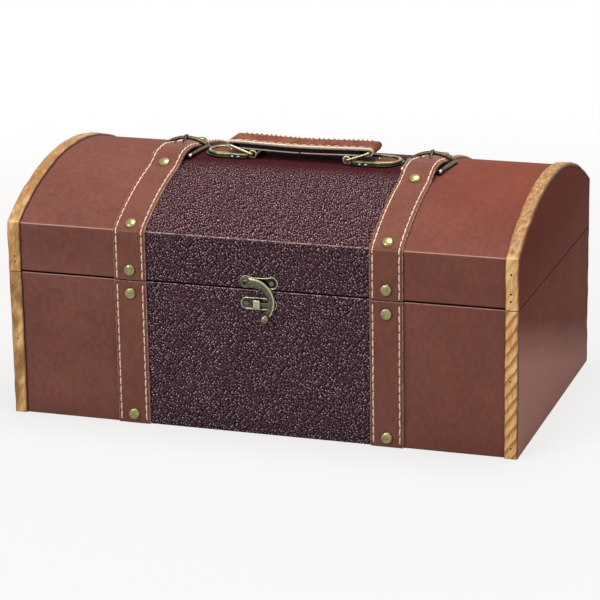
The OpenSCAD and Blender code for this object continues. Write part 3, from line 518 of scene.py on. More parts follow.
def band(name, line, normals, across, low, high, thickness, edge, material, rows, end=None,
         rules=None, shake=0.0):
    """A piece made of one strip, marked with its edge and with the length along its line, and
    with marks that follow a rule."""
    marks = {"edge": []}
    shape = band_shape(line, normals, across, low, high, thickness, edge, rows, end, shake,
                       marks["edge"])
    stretch = [0.0]
    for before, after in zip(line, line[1:]):
        stretch.append(stretch[-1] + (after - before).length)
    stretch = [0.0] * 4 + stretch + [stretch[-1]] * 4
    marks["along"] = per_loop(stretch, len(shape[0]) // len(stretch))
    for mark, rule in (rules or {}).items():
        known = marks.get(mark, [1.0] * len(shape[0]))
        marks[mark] = [m * rule(p) for m, p in zip(known, shape[0])]
    return add_piece(name, shape, material, marks)


def finer(line, step):
    """The same line with points no more than a step apart."""
    found = [line[0]]
    for spot in line[1:]:
        parts = max(1, math.ceil((spot - found[-1]).length / step))
        start = found[-1]
        found += [start.lerp(spot, i / parts) for i in range(1, parts + 1)]
    return found


def lid_line(lift, radius, foot):
    """Outline of the lid, lift outside the leather's face, from the front seam over the dome
    to the back seam, with a rounded crease."""
    depth, dome = half_depth + lift, dome_radius + lift
    bend_y = depth - radius
    bend_z = dome_centre + math.sqrt((dome - radius) ** 2 - bend_y ** 2)
    lean = math.degrees(math.atan2(bend_y, bend_z - dome_centre))
    line = [Vector((0, -depth, foot + (bend_z - foot) * share))
            for share in (0, 0.03, 0.25, 0.5, 0.75, 0.94, 0.985)]
    line += [Vector((0, -bend_y - radius * math.sin(a), bend_z + radius * math.cos(a)))
             for a in turn_steps(90, lean, 6)]
    line += [Vector((0, -dome * math.sin(a), dome_centre + dome * math.cos(a)))
             for a in turn_steps(lean - 0.14, lean - 0.6, 1) + turn_steps(lean - 1.2, 0, 26)]
    return line + [Vector((0, -p.y, p.z)) for p in reversed(line[:-1])]


def folded(point):
    """Mark of the crease, where wall and dome of the lid meet."""
    near = abs(abs(point.y) - half_depth) < 4 * mm
    return max(0.0, 1 - abs(point.z - crease) / fold_line) if near else 0.0


def rubbed_and_highlit_rim(point):
    """The front and back rim of the base is rubbed pale, partly as a painted highlight on its
    rounding, and other edges keep their colour.
    """
    inner = abs(point.x) < half_width - rub_depth and point.z < base_rim + 0.1 * mm
    return 1.0 if inner and point.z > base_rim - rub_depth else 0.0


def shaded_lid_rim(point):
    """Painted shade along the lower rim of the lid, darkest at its edge."""
    return min(1.0, max(0.0, (lid_rim + seam_shade_depth - point.z) / seam_shade_fade))


smooth_leather = leather_finish("smooth_leather", leather_brown, leather_dark, leather_red,
                                leather_olive, leather_pale_wear_and_sheen)
up = Vector((0, 0, 1))
right = Vector((1, 0, 0))
panel_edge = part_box("base_front_embossed_cover")[1].x
board_x, board_y = half_width - cover_thickness, half_depth - cover_thickness
for side, hand in ((-1, "left"), (1, "right")):
    radius = corner_radius - cover_thickness
    line = [Vector((panel_edge, -board_y, 0))]
    line += [Vector((x, y, 0))
             for x, y in arc(board_x - radius, radius - board_y, radius, -90, 0, 6)]
    line += [Vector((p.x, -p.y, 0)) for p in reversed(line)]
    line = [p * side for p in line]
    fix(band(f"base_leather_{hand}", line, outward(line, (0, 1), -1), up, 0, base_rim,
             cover_thickness, cover_edge, smooth_leather, rows=8, end=0.1 * mm,
             rules={"edge": rubbed_and_highlit_rim}), "base", "smooth_leather", f"base_{hand}_cover")
    line = lid_line(-cover_thickness, crease_radius - cover_thickness, lid_rim)
    reach = sorted((side * half_width, side * panel_edge))
    fix(band(f"lid_leather_{hand}", line, outward(line, (1, 2)), right, reach[0], reach[1],
             cover_thickness, side_edge, smooth_leather, rows=8, end=rim_turn,
             rules={"fold": folded, "edge": rubbed_and_highlit_rim, "seam_shade": shaded_lid_rim}),
        "lid", "smooth_leather", f"lid_{hand}_cover")


def inset_loop(outline, distance):
    """A closed outline of (u, v) points, counterclockwise, moved inward by a distance."""
    moved = []
    for i, (u, v) in enumerate(outline):
        before, after = Vector(outline[i - 1]), Vector(outline[(i + 1) % len(outline)])
        run_in = (Vector((u, v)) - before).normalized()
        run_out = (after - Vector((u, v))).normalized()
        n1, n2 = Vector((-run_in.y, run_in.x)), Vector((-run_out.y, run_out.x))
        shift = (n1 + n2) / max(0.3, 1 + n1.dot(n2)) * distance
        moved.append((u + shift.x, v + shift.y))
    return moved


def plate(outline, profile, spot, u_way, v_way):
    """A relief plate: the outline moved in step by step, at the heights that the profile
    gives as (inset, height), standing on spot with its face along u_way x v_way."""
    face_way = u_way.cross(v_way)
    return lofted([[spot + u_way * u + v_way * v + face_way * height
                    for u, v in inset_loop(outline, inset)] for inset, height in profile])


def rounded_profile(height, radius):
    """Profile of a plate with square sides and a rounded upper edge."""
    return [(0.0, 0.0)] + [(radius * (1 - math.cos(t)), height - radius * (1 - math.sin(t)))
                           for t in turn_steps(0, 90, 4)]


back_way = Vector((0, 1, 0))
for side, hand in ((-1, "left"), (1, "right")):
    arch = lid_line(-cover_thickness, end_crease, lid_rim)
    if side > 0:
        outline = [(p.y, p.z) for p in reversed(arch)]
    else:
        outline = [(-p.y, p.z) for p in arch]
    shape = plate(outline, rounded_profile(cover_thickness, side_edge),
                  Vector((side * board_x, 0, 0)), back_way * side, up)
    fix(add_piece(f"lid_end_leather_{hand}", shape, smooth_leather), "lid", "smooth_leather",
        f"lid_{hand}_end_cover")

# Embossed leather: a darker, aubergine leather pressed with a dense pebbled grain, glued over the
# middle of base and lid. The tops of the pebbles carry painted highlights.
pebble_valley = srgb(44, 28, 35)
pebble_body = srgb(84, 62, 71)
pebble_dome = srgb(86, 56, 60)
row_valley = srgb(46, 26, 32)
pebble_painted_highlight = srgb(246, 232, 242)
pebble_red = srgb(66, 27, 33)
pebble_wine = srgb(86, 46, 52)
pebble_wear_and_highlight = srgb(206, 178, 182)
pebble_size = (2.0, 1.6)
pebble_rows = (3.2, 1.0)
wall_lean = 40
dome_lean = 54
crown_below, crown_full = 4.0 * mm, 1.2 * mm


def embossed_finish():
    """The walls have round pebbles, and the dome has longer ones in slanting rows."""
    finish = Finish("embossed_leather", pebble_valley, 0.36, Specular_IOR_Level=0.0005)
    height = finish.along(finish.place, "Z")
    flat = add_node(finish.tree, "CombineXYZ", {"X": finish.along(finish.place, "X"),
                                                "Y": finish.mark("along")}).outputs[0]
    dome = finish.span(height, crease - 0.2 * mm, crease + 0.4 * mm)
    crown = finish.span(height, ridge - crown_below, ridge - crown_full)
    reach, shade = [], []
    for (long, wide), lean in ((pebble_size, wall_lean), (pebble_rows, dome_lean)):
        spread = finish.stretched(long, wide, wide, (0, 0, lean), flat)
        pebbles = add_node(finish.tree, "TexVoronoi", {"Vector": spread, "Scale": 1,
                                                       "Randomness": 0.8},
                           voronoi_dimensions="2D")
        reach.append(pebbles.outputs["Distance"])
        shade.append(pebbles.outputs["Color"])
    rows = finish.times(dome, 0.8)
    far = finish.plus(finish.times(reach[0], finish.maths("SUBTRACT", 1.0, rows)),
                      finish.times(reach[1], rows))
    own = add_node(finish.tree, "SeparateColor", {0: finish.mixed(dome, shade[0], shade[1])})
    skin = finish.cloud(finish.even(0.5), 3)
    broad = finish.cloud(finish.even(26), 3)
    pebble = finish.span(finish.plus(far, finish.span(skin, 0.3, 0.7, -0.1, 0.1)), 0.54, 0.22)
    finish.coat(dome, row_valley)
    finish.coat(pebble, finish.mixed(dome, pebble_body, pebble_dome))
    finish.layer(pebble_wine, broad, 0.35, 0.75, 0.25)
    finish.coat(finish.maths("MAXIMUM", finish.times(dome, 0.12), finish.times(crown, 0.8)),
                pebble_red)
    # Painted highlights on the tops of the pebbles, none on the crown.
    highlight_shine = finish.maths("POWER", own.outputs[0], finish.span(dome, 0, 1, 4.0, 3.4))
    spot = finish.times(finish.span(far, 0.32, 0.1),
                        finish.span(highlight_shine, 0.0, 1.0, finish.span(dome, 0, 1, 0.08, 0.3), 1.0))
    spot = finish.times(spot, finish.maths("SUBTRACT", 1.0, crown))
    finish.coat(finish.times(spot, 0.85), pebble_painted_highlight)
    # Pale at the rim and the crease: rubbed wear, and a painted highlight on their rounding.
    rub = finish.maths("MAXIMUM", finish.span(finish.mark("edge"), 0, 0.5), finish.mark("fold"))
    finish.coat(finish.times(rub, finish.span(own.outputs[1], 0.2, 0.7, 0.1, 0.9)),
                pebble_wear_and_highlight)
    # Painted shade along the lower rim of the lid, by the seam.
    finish.coat(finish.mark("seam_shade"), seam_shade_colour)
    finish.to("Roughness", finish.span(pebble, 0.0, 1.0, 0.55, 0.28))
    worn = finish.span(crown, 0.0, 1.0, 0.8, 0.25)
    finish.relief(finish.plus(finish.times(pebble, worn), finish.times(skin, 0.2)), 0.35, 0.9)
    return finish.material


embossed_leather = embossed_finish()
for side, hand in ((-1, "front"), (1, "back")):
    line = [Vector((0, side * board_y, base_rim * i / 6)) for i in range(7)]
    fix(band(f"base_panel_{hand}", line, outward(line, (1, 2), -side), right, -panel_edge,
             panel_edge, cover_thickness, cover_edge, embossed_leather, rows=12,
             end=cover_edge, rules={"edge": rubbed_and_highlit_rim}), "base", "embossed_leather",
        f"base_{hand}_embossed_cover")
line = lid_line(-cover_thickness, crease_radius - cover_thickness, lid_rim)
fix(band("lid_panel", line, outward(line, (1, 2)), right, -panel_edge, panel_edge,
         cover_thickness, side_edge, embossed_leather, rows=12, end=rim_turn,
         rules={"fold": folded, "edge": rubbed_and_highlit_rim, "seam_shade": shaded_lid_rim}),
    "lid", "embossed_leather", "lid_embossed_cover")

# Turned edge: strips of the same leather that close the rims of base and lid where the boards would
# show, coloured nearly black as painted shade in the seam where they meet.
rim_shade_black = srgb(22, 12, 12)
rim_shade_dark = srgb(20, 12, 12)
rim_shade_red = srgb(36, 20, 19)
rim_shade_olive = srgb(30, 20, 18)
rim_shade_rubbed = srgb(44, 26, 24)
rim_setback = 0.78 * mm
rim_depth = 1.6 * mm
rim_round = 0.1 * mm
rim_air = 0.05 * mm
seam = 119.5 * mm
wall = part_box("base_front_board")[1].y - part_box("base_front_board")[0].y
rim_inner = cover_thickness + wall - 0.2 * mm


def ring_loop(half_x, half_y, radius, height):
    """A rounded rectangle round the chest's upright axis, anticlockwise from above."""
    loop = []
    for corner, (sx, sy) in enumerate(((1, -1), (1, 1), (-1, 1), (-1, -1))):
        middle = (sx * (half_x - radius), sy * (half_y - radius))
        loop += [Vector((x, y, height))
                 for x, y in arc(*middle, radius, 90 * corner - 90, 90 * corner, 5)]
    return loop


# Nearly black all over, as painted shade in the seam.
seam_shade_leather = leather_finish("seam_shade_leather", rim_shade_black, rim_shade_dark, rim_shade_red, rim_shade_olive,
                                rim_shade_rubbed, 0.5)
rim_section = ((rim_setback, 2 * mm, rim_depth), (rim_setback, 2 * mm, rim_round),
               (rim_setback + rim_round, 2 * mm, 0), (rim_inner - rim_round, 1 * mm, 0),
               (rim_inner, 1 * mm, rim_round), (rim_inner, 1 * mm, rim_depth))
for body, sense in (("base", -1), ("lid", 1)):
    loops = [ring_loop(half_width - inset, half_depth - inset, radius,
                       seam + sense * (rim_air + depth)) for inset, radius, depth in rim_section]
    fix(add_piece(f"{body}_turned_edge", lofted(loops, True), seam_shade_leather),
        body, "smooth_leather")

# Lining and underside: a dark flocked cloth glued inside base and lid with soft corners and a
# folded hem at the rim, and a sheet of book cloth under the bottom.
flock_red = srgb(92, 34, 36)
flock_dark = srgb(58, 20, 24)
flock_sheen = srgb(150, 90, 90)
book_brown = srgb(62, 44, 40)
book_dark = srgb(38, 28, 26)
lining_thickness = 0.6 * mm
lining_corner = 3.0 * mm
lining_puff = 0.25 * mm
hem_round = 0.3 * mm
hem_fold = 0.9 * mm
lining_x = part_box("base_lining")[1].x
lining_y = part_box("base_lining")[1].y
lining_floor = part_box("base_lining")[0].z


def cloth_finish(name, light, dark, thread, sheen):
    """Cloth or flock with a soft nap, woven as fine as its thread in millimetres."""
    finish = Finish(name, light, 0.95, Specular_IOR_Level=0.1, Sheen_Weight=sheen,
                    Sheen_Roughness=0.4, Sheen_Tint=flock_sheen)
    nap = finish.cloud(finish.stretched(7, 7, 5), 4, 0.6)
    pile = finish.cloud(finish.even(thread), 2)
    cross = finish.cloud(finish.stretched(thread * 6, thread, thread * 6), 1)
    finish.coat(finish.plus(finish.times(finish.span(nap, 0.3, 0.7), 0.6),
                            finish.times(pile, 0.4)), dark)
    finish.relief(finish.plus(pile, finish.times(cross, 0.5)), 0.12)
    return finish.material


flocked_lining = cloth_finish("flocked_lining", flock_red, flock_dark, 0.35, 0.3)
book_cloth = cloth_finish("book_cloth", book_brown, book_dark, 0.7, 0.0)
top = base_rim - 0.1 * mm
floor_at = lining_floor + lining_thickness
loops = [ring_loop(lining_x, lining_y, 1 * mm, lining_floor),
         ring_loop(lining_x, lining_y, 1 * mm, top - hem_round),
         ring_loop(lining_x - hem_round, lining_y - hem_round, 1 * mm, top),
         ring_loop(lining_x - hem_fold, lining_y - hem_fold, 1 * mm, top - 0.2 * mm)]
for i in range(1, 9):
    sag = lining_thickness + lining_puff * math.sin(math.pi * i / 9)
    loops.append(ring_loop(lining_x - sag, lining_y - sag, 1.5 * mm,
                           top + (floor_at + lining_corner - top) * i / 9))
for t in turn_steps(0, 90, 5):
    pull = lining_thickness + lining_corner * (1 - math.cos(t))
    loops.append(ring_loop(lining_x - pull, lining_y - pull, lining_corner,
                           floor_at + lining_corner * (1 - math.sin(t))))
fix(add_piece("base_cloth_lining", lofted(loops), flocked_lining), "base", "lining",
    "base_lining")


def vault_rib(x, shrink, lift):
    """Inside of the lid at x as a line from the front rim over the dome to the back rim."""
    rib = []
    for p in lid_line(lift - cover_thickness - wall, 4 * mm, lid_rim):
        rib.append(Vector((x, p.y * shrink, lid_rim + (p.z - lid_rim) * shrink)))
    return rib


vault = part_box("lid_lining")[1].z
dome_gap = vault - (ridge - cover_thickness - wall)
ribs = []
for face, sense in ((0.0, 1), (-lining_thickness, -1)):
    for x, shrink in ((-1, 0.0), (-1, 0.5), (-1, 0.97), (-0.99, 1.0), (-0.5, 1.0), (0, 1.0),
                      (0.5, 1.0), (0.99, 1.0), (1, 0.97), (1, 0.5), (1, 0.0))[::sense]:
        rib = vault_rib(x * (lining_x + face), shrink, face)
        for p in rib:
            share = max(0.0, 1 - (p.y / lining_y) ** 2)
            p.z += dome_gap * shrink * share
        ribs.append(rib)
count = len(ribs[0])
points = [p for rib in ribs for p in rib]
faces = [[r * count + k, r * count + k + 1, (r + 1) % len(ribs) * count + k + 1,
          (r + 1) % len(ribs) * count + k] for r in range(len(ribs)) for k in range(count - 1)]
half = len(ribs) // 2
for end in (0, count - 1):
    faces += [[r * count + end, (r + 1) * count + end, (len(ribs) - 2 - r) * count + end,
               (len(ribs) - 1 - r) * count + end] for r in range(half - 1)]
fix(add_piece("lid_cloth_lining", (points, faces), flocked_lining), "lid", "lining",
    "lid_lining")
inset = 0.5 * mm
loops = [ring_loop(board_x - i, board_y - i, 1.5 * mm, z) for i, z in
         ((inset + 0.3 * mm, 0.0), (inset, 0.2 * mm), (inset, cover_thickness))]
fix(add_piece("underside_cloth", lofted(loops), book_cloth), "base", "underside_cloth",
    "base_bottom_cover")

# Wooden edging: pale hardwood strips along both ends, steamed round the dome and creased over the
# corner of the lid, with worn arrises. Their rounded sides carry painted shade and the crease a
# painted highlight, and along each side runs a dark line of glue and painted shadow.
wood_honey = srgb(246, 188, 118)
wood_shade = srgb(184, 122, 64)
wood_pale = srgb(250, 216, 160)
wood_figure = srgb(136, 74, 34)
wood_edge_shade = srgb(128, 80, 40)
wood_glue_and_shadow = srgb(58, 30, 20)
wood_darkened = srgb(126, 94, 50)
wood_dome_dark = srgb(122, 84, 37)
wood_pore = srgb(112, 74, 40)
trim_thickness = 2.2 * mm
trim_width = 11 * mm
trim_edge = 1.9 * mm
trim_join = 0.35 * mm
trim_crease = 1.8 * mm
dome_dark_reach = 4 * mm
trim_shake = 0.5 * mm
darkened_share = {"left": 0.85, "right": 0.0}
figure_share = {("front", "left"): 0.35, ("front", "right"): 0.9, ("back", "left"): 0.7,
                ("back", "right"): 0.3}


def wood_finish():
    """Streaky hardwood with slanting figure, darker in places on the left trims and over the dome,
    with a painted highlight at the crease and painted shade down its rounded sides."""
    finish = Finish("edging_wood", wood_honey, 0.5, Specular_IOR_Level=0.35)
    strokes = finish.cloud(finish.stretched(1.5, 8.0, 8.0, (0, -12, 0)), 3, 0.6)
    lines = finish.cloud(finish.stretched(0.45, 9.0, 9.0, (0, -6, 0)), 2)
    broad = finish.cloud(finish.stretched(9, 22, 22), 3)
    pores = finish.cloud(finish.stretched(0.35, 1.6, 1.6, (0, 12, 0)), 2)
    fleck = finish.cloud(finish.stretched(2.4, 5, 5, (0, -12, 0)), 4, 0.65)
    slant = add_node(finish.tree, "TexWave", {
        "Vector": finish.stretched(21, 21, 21, (0, 54, 0)), "Scale": 1.0, "Distortion": 1.3,
        "Detail": 2.0, "Detail Scale": 2.5}, wave_profile="SAW", bands_direction="Z")
    finish.layer(wood_shade, strokes, 0.38, 0.66, 0.85)
    finish.layer(wood_shade, lines, 0.5, 0.72, 0.5)
    finish.layer(wood_pale, broad, 0.42, 0.72, 0.6)
    figure = finish.times(finish.span(slant.outputs["Fac"], 0.45, 0.8), finish.mark("figure"))
    finish.coat(finish.times(figure, 0.8), wood_figure)
    # Darker in patches on the left-hand trims.
    darkened = finish.mark("darkened")
    finish.coat(finish.times(darkened, finish.span(broad, 0.62, 0.4, 0.2, 1.0)), wood_darkened)
    # Darker in flecks over the dome.
    arch = finish.span(finish.along(finish.place, "Z"), crease, crease + dome_dark_reach)
    dome_dark = finish.times(arch, finish.span(darkened, 0, 0.45, 1.0, 0.72))
    finish.coat(finish.times(dome_dark, finish.span(fleck, 0.36, 0.64, 0.4, 1.0)), wood_dome_dark)
    finish.layer(wood_pore, pores, 0.6, 0.72, 0.5)
    # Painted highlight along the crease.
    finish.coat(finish.mark("fold"), wood_pale)
    # Painted shade down the rounded sides, then a dark foot line of glue and painted shadow.
    finish.layer(wood_edge_shade, finish.mark("edge"), 0.2, 0.7, 0.8)
    finish.layer(wood_glue_and_shadow, finish.mark("edge"), 0.75, 0.95)
    finish.to("Roughness", finish.span(strokes, 0.3, 0.7, 0.42, 0.58))
    finish.relief(finish.plus(finish.times(strokes, 0.6), finish.times(lines, 0.4)), 0.25, 0.8)
    return finish.material


edging_wood = wood_finish()
for side, hand in ((-1, "left"), (1, "right")):
    reach = sorted((side * half_width, side * (half_width - trim_width)))
    for face, name in ((-1, "front"), (1, "back")):
        line = finer([Vector((0, face * half_depth, 0)),
                      Vector((0, face * half_depth, base_rim + trim_join))], 4 * mm)
        fix(band(f"edging_base_{name}_{hand}", line, outward(line, (1, 2), -face), right,
                 reach[0], reach[1], trim_thickness, trim_edge, edging_wood, rows=5,
                 end=0.5 * mm, shake=trim_shake,
                 rules={"figure": lambda p: figure_share[name, hand],
                        "darkened": lambda p: darkened_share[hand]}), "base", "trim_wood",
            f"base_trim_{name}_{hand}")
    line = finer(lid_line(0, trim_crease, lid_rim - trim_join), 4 * mm)
    fix(band(f"edging_lid_{hand}", line, outward(line, (1, 2)), right, reach[0], reach[1],
             trim_thickness, trim_edge, edging_wood, rows=5, end=0.5 * mm, shake=trim_shake,
             rules={"fold": lambda p: folded(Vector((0, p.y * half_depth / (
                 half_depth + trim_thickness), p.z - 1.2 * mm))),
                    "figure": lambda p: 0.25, "darkened": lambda p: 0.53 * darkened_share[hand]}),
        "lid", "trim_wood", f"lid_trim_{hand}")

# Brads: headless wire nails, set below the face of the wooden edging. Each leaves a small dark
# hole with a raised pale burr of wood at its lip.
brad_radius = 0.66 * mm
brad_burr = 0.28 * mm
hole_sides = 14
base_brads = (8.7 * mm, 63 * mm, 110 * mm)
lid_brads = (127.3 * mm, 132.5 * mm, 147.7 * mm)
dome_brads = (29.0, 9.0, -9.0, -29.0)
hole_brown = srgb(58, 28, 6)
burr_pale = srgb(252, 226, 178)


def turned(profile, sides):
    """Points and faces of a turned shape about +Z, from (radius, height) steps that start and
    end near the axis."""
    return lofted([[Vector((x, y, z)) for x, y in arc(0, 0, r, 0, 360, sides)[:-1]]
                   for r, z in profile])


def placed(shape, spot, toward, spin=0.0, stretch=(1, 1)):
    """The same shape with its +Z turned to a direction and its origin at a spot."""
    turn = Vector(toward).to_track_quat("Z", "Y").to_matrix() @ Matrix.Rotation(spin, 3, "Z")
    points = [spot + turn @ Vector((p.x * stretch[0], p.y * stretch[1], p.z)) for p in shape[0]]
    return points, shape[1]


def joined(shapes):
    """Several shapes as one."""
    points, faces = [], []
    for some, tied in shapes:
        faces += [[k + len(points) for k in face] for face in tied]
        points += some
    return points, faces


def burr_finish():
    """The dark hole of a brad with its pale burr."""
    finish = Finish("brad_hole", hole_brown, 0.7, Specular_IOR_Level=0.02)
    grain = finish.cloud(finish.even(0.3), 2)
    finish.coat(finish.times(finish.mark("burr"), finish.span(grain, 0.2, 0.6, 0.6, 1.0)),
                burr_pale)
    finish.relief(grain, 0.1)
    return finish.material


brad_hole = burr_finish()
hole = turned(((0.01 * mm, 0.02 * mm), (brad_radius * 0.7, 0.03 * mm), (brad_radius, 0.12 * mm),
               (brad_radius * 1.2, brad_burr * 0.6), (brad_radius * 1.45, brad_burr * 0.4),
               (brad_radius * 1.6, -0.2 * mm), (0.01 * mm, -0.3 * mm)), hole_sides)
rings = [0, 0, 0, 1, 0.75, 0.2, 0]
dice = random.Random(11)
for body, heights in (("base", base_brads), ("lid", lid_brads)):
    shapes = []
    for side in (-1, 1):
        x = side * (half_width - trim_width / 2)
        for face in (-1, 1):
            for height in heights:
                spot = Vector((x + dice.uniform(-0.7, 0.7) * mm,
                               face * (half_depth + trim_thickness),
                               height + dice.uniform(-0.6, 0.6) * mm))
                shapes.append(placed(hole, spot, (0, face, 0), dice.uniform(0, 3), (1.0, 1.5)))
        for lean in dome_brads if body == "lid" else ():
            a = math.radians(lean + dice.uniform(-0.5, 0.5))
            way = Vector((0, -math.sin(a), math.cos(a)))
            spot = Vector((x + dice.uniform(-0.7, 0.7) * mm, 0, dome_centre))
            shapes.append(placed(hole, spot + way * (dome_radius + trim_thickness), way,
                                 dice.uniform(0, 3), (1.0, 1.4)))
    shape = joined(shapes)
    fix(add_piece(f"{body}_brads", shape, brad_hole,
                  {"burr": per_loop(rings, hole_sides) * len(shapes)}),
        body, "trim_wood")

# Straps: two belts of thick brown leather, sewn along both edges in cream thread, one piece on
# the base and one over the lid each, held by domed nails. Their cut edges are left raw.
strap_brown = srgb(125, 81, 71)
strap_dark = srgb(107, 67, 59)
strap_red = srgb(140, 86, 72)
strap_raw = srgb(206, 178, 160)
strap_crease_highlight = srgb(190, 130, 112)
strap_low, strap_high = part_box("base_strap_front_right")
strap_middle = (strap_low.x + strap_high.x) / 2
strap_width = strap_high.x - strap_low.x
strap_gap = -half_depth - strap_high.y
strap_thickness = strap_high.y - strap_low.y
strap_edge = 0.9 * mm
strap_crease = 2.6 * mm
strap_shake = 0.1 * mm
hump_front, hump_top, hump_end, hump_back = -50.0 * mm, -25.0 * mm, -21.0 * mm, 24.0 * mm
hump_height = 5.54 * mm


def strap_finish(name, colour, dark, red, raw):
    """Thick mottled leather with raw fibrous edges, a painted highlight at the crease and painted
    shadow down its cut edges.
    """
    finish = Finish(name, colour, 0.42, Specular_IOR_Level=0.02)
    broad = finish.cloud(finish.even(30), 3)
    patch = finish.cloud(finish.even(8), 4, 0.6)
    pore = finish.cloud(finish.even(0.4), 3)
    grain = finish.cells(finish.even(0.8))
    mottle = finish.cloud(finish.stretched(3, 4, 6), 4, 0.65)
    fibre = finish.cloud(finish.stretched(0.5, 2.5, 2.5), 3)
    finish.layer(dark, broad, 0.3, 0.7, 0.7)
    finish.layer(red, patch, 0.45, 0.8, 0.5)
    finish.layer(dark, mottle, 0.48, 0.74, 0.7)
    finish.layer(red, mottle, 0.46, 0.3, 0.4)
    finish.layer(dark, pore, 0.55, 0.8, 0.3)
    # Painted highlight on the rounded crease.
    finish.coat(finish.times(finish.mark("fold"), 0.35), strap_crease_highlight)
    finish.coat(finish.span(finish.mark("edge"), 0.2, 0.5),
                finish.mixed(finish.span(fibre, 0.3, 0.7), raw, dark))
    # Painted shadow down the cut edges.
    finish.layer(dark, finish.mark("edge"), 0.8, 1.0, 0.7)
    finish.to("Roughness", finish.span(patch, 0.3, 0.8, 0.36, 0.5))
    finish.relief(finish.plus(finish.times(grain, 0.6), finish.times(pore, 0.4)), 0.06, 0.6)
    return finish.material


def ease(share):
    """A soft rise from 0 to 1."""
    return (1 - math.cos(math.pi * min(1.0, max(0.0, share)))) / 2


def hump(y):
    """Rise of the strap where it passes over the front bar of its buckle."""
    if y < hump_end:
        return hump_height * ease((y - hump_front) / (hump_top - hump_front))
    return hump_height * (1 - ease((y - hump_end) / (hump_back - hump_end)))


def strap_line(lift):
    """Line of a strap over the lid, with its rise over the bar of the buckle."""
    line = []
    for p in finer(lid_line(lift, strap_crease, lid_rim), 2.5 * mm):
        out = (p - Vector((0, 0, dome_centre))).normalized()
        line.append(p + out * (hump(p.y) if p.z > crease else 0))
    return line


class Run:
    """A line with its normals, measured along its length."""

    def __init__(self, line, normals):
        self.line, self.normals, self.at = line, normals, [0.0]
        for before, after in zip(line, line[1:]):
            self.at.append(self.at[-1] + (after - before).length)
        self.length = self.at[-1]

    def spot(self, s):
        """Place and normal at a length along the line."""
        s = min(max(s, 0.0), self.length)
        i = 0
        while i < len(self.at) - 2 and self.at[i + 1] < s:
            i += 1
        share = (s - self.at[i]) / max(1e-9, self.at[i + 1] - self.at[i])
        return (self.line[i].lerp(self.line[i + 1], share),
                self.normals[i].lerp(self.normals[i + 1], share).normalized())


def raised(line, normals):
    """The line on the face of a strap over the line on its underside."""
    return [p + n * strap_thickness for p, n in zip(line, normals)]


def rod(line, wide, high, lift, sides, square=2.0, closed=False, round_ends=True, foot=None):
    """Points and faces of a bar along a line. wide and high are numbers or one per point, lift
    is the way its height points, and square 2 is round, more is boxier. A foot cuts it flat
    below its line."""
    count = len(line)
    pick = lambda v, i: v[i] if isinstance(v, (list, tuple)) else v
    rings = []
    for i, spot in enumerate(line):
        before = line[i - 1] if closed or i else spot
        after = line[(i + 1) % count] if closed or i < count - 1 else spot
        along = (after - before).normalized()
        sideways = along.cross(pick(lift, i)).normalized()
        rings.append((spot, along, sideways, sideways.cross(along), pick(wide, i) / 2,
                      pick(high, i) / 2))
    if not closed and round_ends:
        tips = []
        for (spot, along, sideways, upward, w, h), sense in ((rings[0], 1), (rings[-1], -1)):
            tips.append([(spot + along * sense * min(w, h) * (1 - math.cos(t)), along, sideways,
                          upward, w * (1 - 0.75 * (1 - math.sin(t))),
                          h * (1 - 0.75 * (1 - math.sin(t)))) for t in turn_steps(0, 90, 3)])
        rings = tips[0] + rings[1:-1] + tips[1][::-1]
    loops = []
    for spot, along, sideways, upward, w, h in rings:
        loop = []
        for a in turn_steps(0, 360, sides)[:-1]:
            c, s = math.cos(a), math.sin(a)
            x = math.copysign(abs(c) ** (2 / square), c) * w
            z = math.copysign(abs(s) ** (2 / square), s) * h
            loop.append(spot + sideways * x + upward * (z if foot is None else max(z, -foot)))
        loops.append(loop)
    return lofted(loops, closed)


def stitches(run, across, offset, length, pitch, thread, start, stop, dice):
    """Stitches that lie on a line, shifted across it: each a short rounded bead of thread
    whose ends dive into the leather."""
    shapes = []
    number = int((stop - start - length) / pitch) + 1
    slack = (stop - start - length - (number - 1) * pitch) / 2
    for i in range(number):
        middle = start + slack + length / 2 + i * pitch
        spots, size = [], []
        swerve = dice.uniform(-0.12, 0.12) * mm
        for share, sink, fat in ((-0.5, -0.5, 0.7), (-0.36, 0.22, 0.95), (-0.12, 0.42, 1.05),
                                 (0.12, 0.42, 1.05), (0.36, 0.22, 0.95), (0.5, -0.5, 0.7)):
            spot, normal = run.spot(middle + share * length)
            spots.append(spot + across * (offset + swerve * (1 if share > 0 else -1))
                         + normal * sink * thread)
            size.append(thread * fat)
        shapes.append(rod(spots, size, size, normal, sides=6, round_ends=False))
    return shapes


strap_leather = strap_finish("strap_leather", strap_brown, strap_dark, strap_red, strap_raw)
strap_pieces = []
for side, hand in ((-1, "left"), (1, "right")):
    low = side * strap_middle - strap_width / 2
    for face, name in ((-1, "front"), (1, "back")):
        y = face * (half_depth + strap_gap)
        line = finer([Vector((0, y, 0)), Vector((0, y, base_rim))], 5 * mm)
        normals = outward(line, (1, 2), -face)
        fix(band(f"strap_base_{name}_{hand}", line, normals, right, low, low + strap_width,
                 strap_thickness, strap_edge, strap_leather, rows=6, shake=strap_shake),
            "base", "strap_leather", f"base_strap_{name}_{hand}")
        strap_pieces.append(("base", side, Run(raised(line, normals), normals)))
    line = strap_line(strap_gap)
    normals = outward(line, (1, 2))
    fix(band(f"strap_lid_{hand}", line, normals, right, low, low + strap_width, strap_thickness,
             strap_edge, strap_leather, rows=6, shake=strap_shake,
             rules={"fold": lambda p: folded(p + Vector((0, 2 * mm, 0)))
                    if p.z < crease + 3 * mm else 0.0}),
        "lid", "strap_leather", f"lid_strap_{hand}")
    strap_pieces.append(("lid", side, Run(raised(line, normals), normals)))

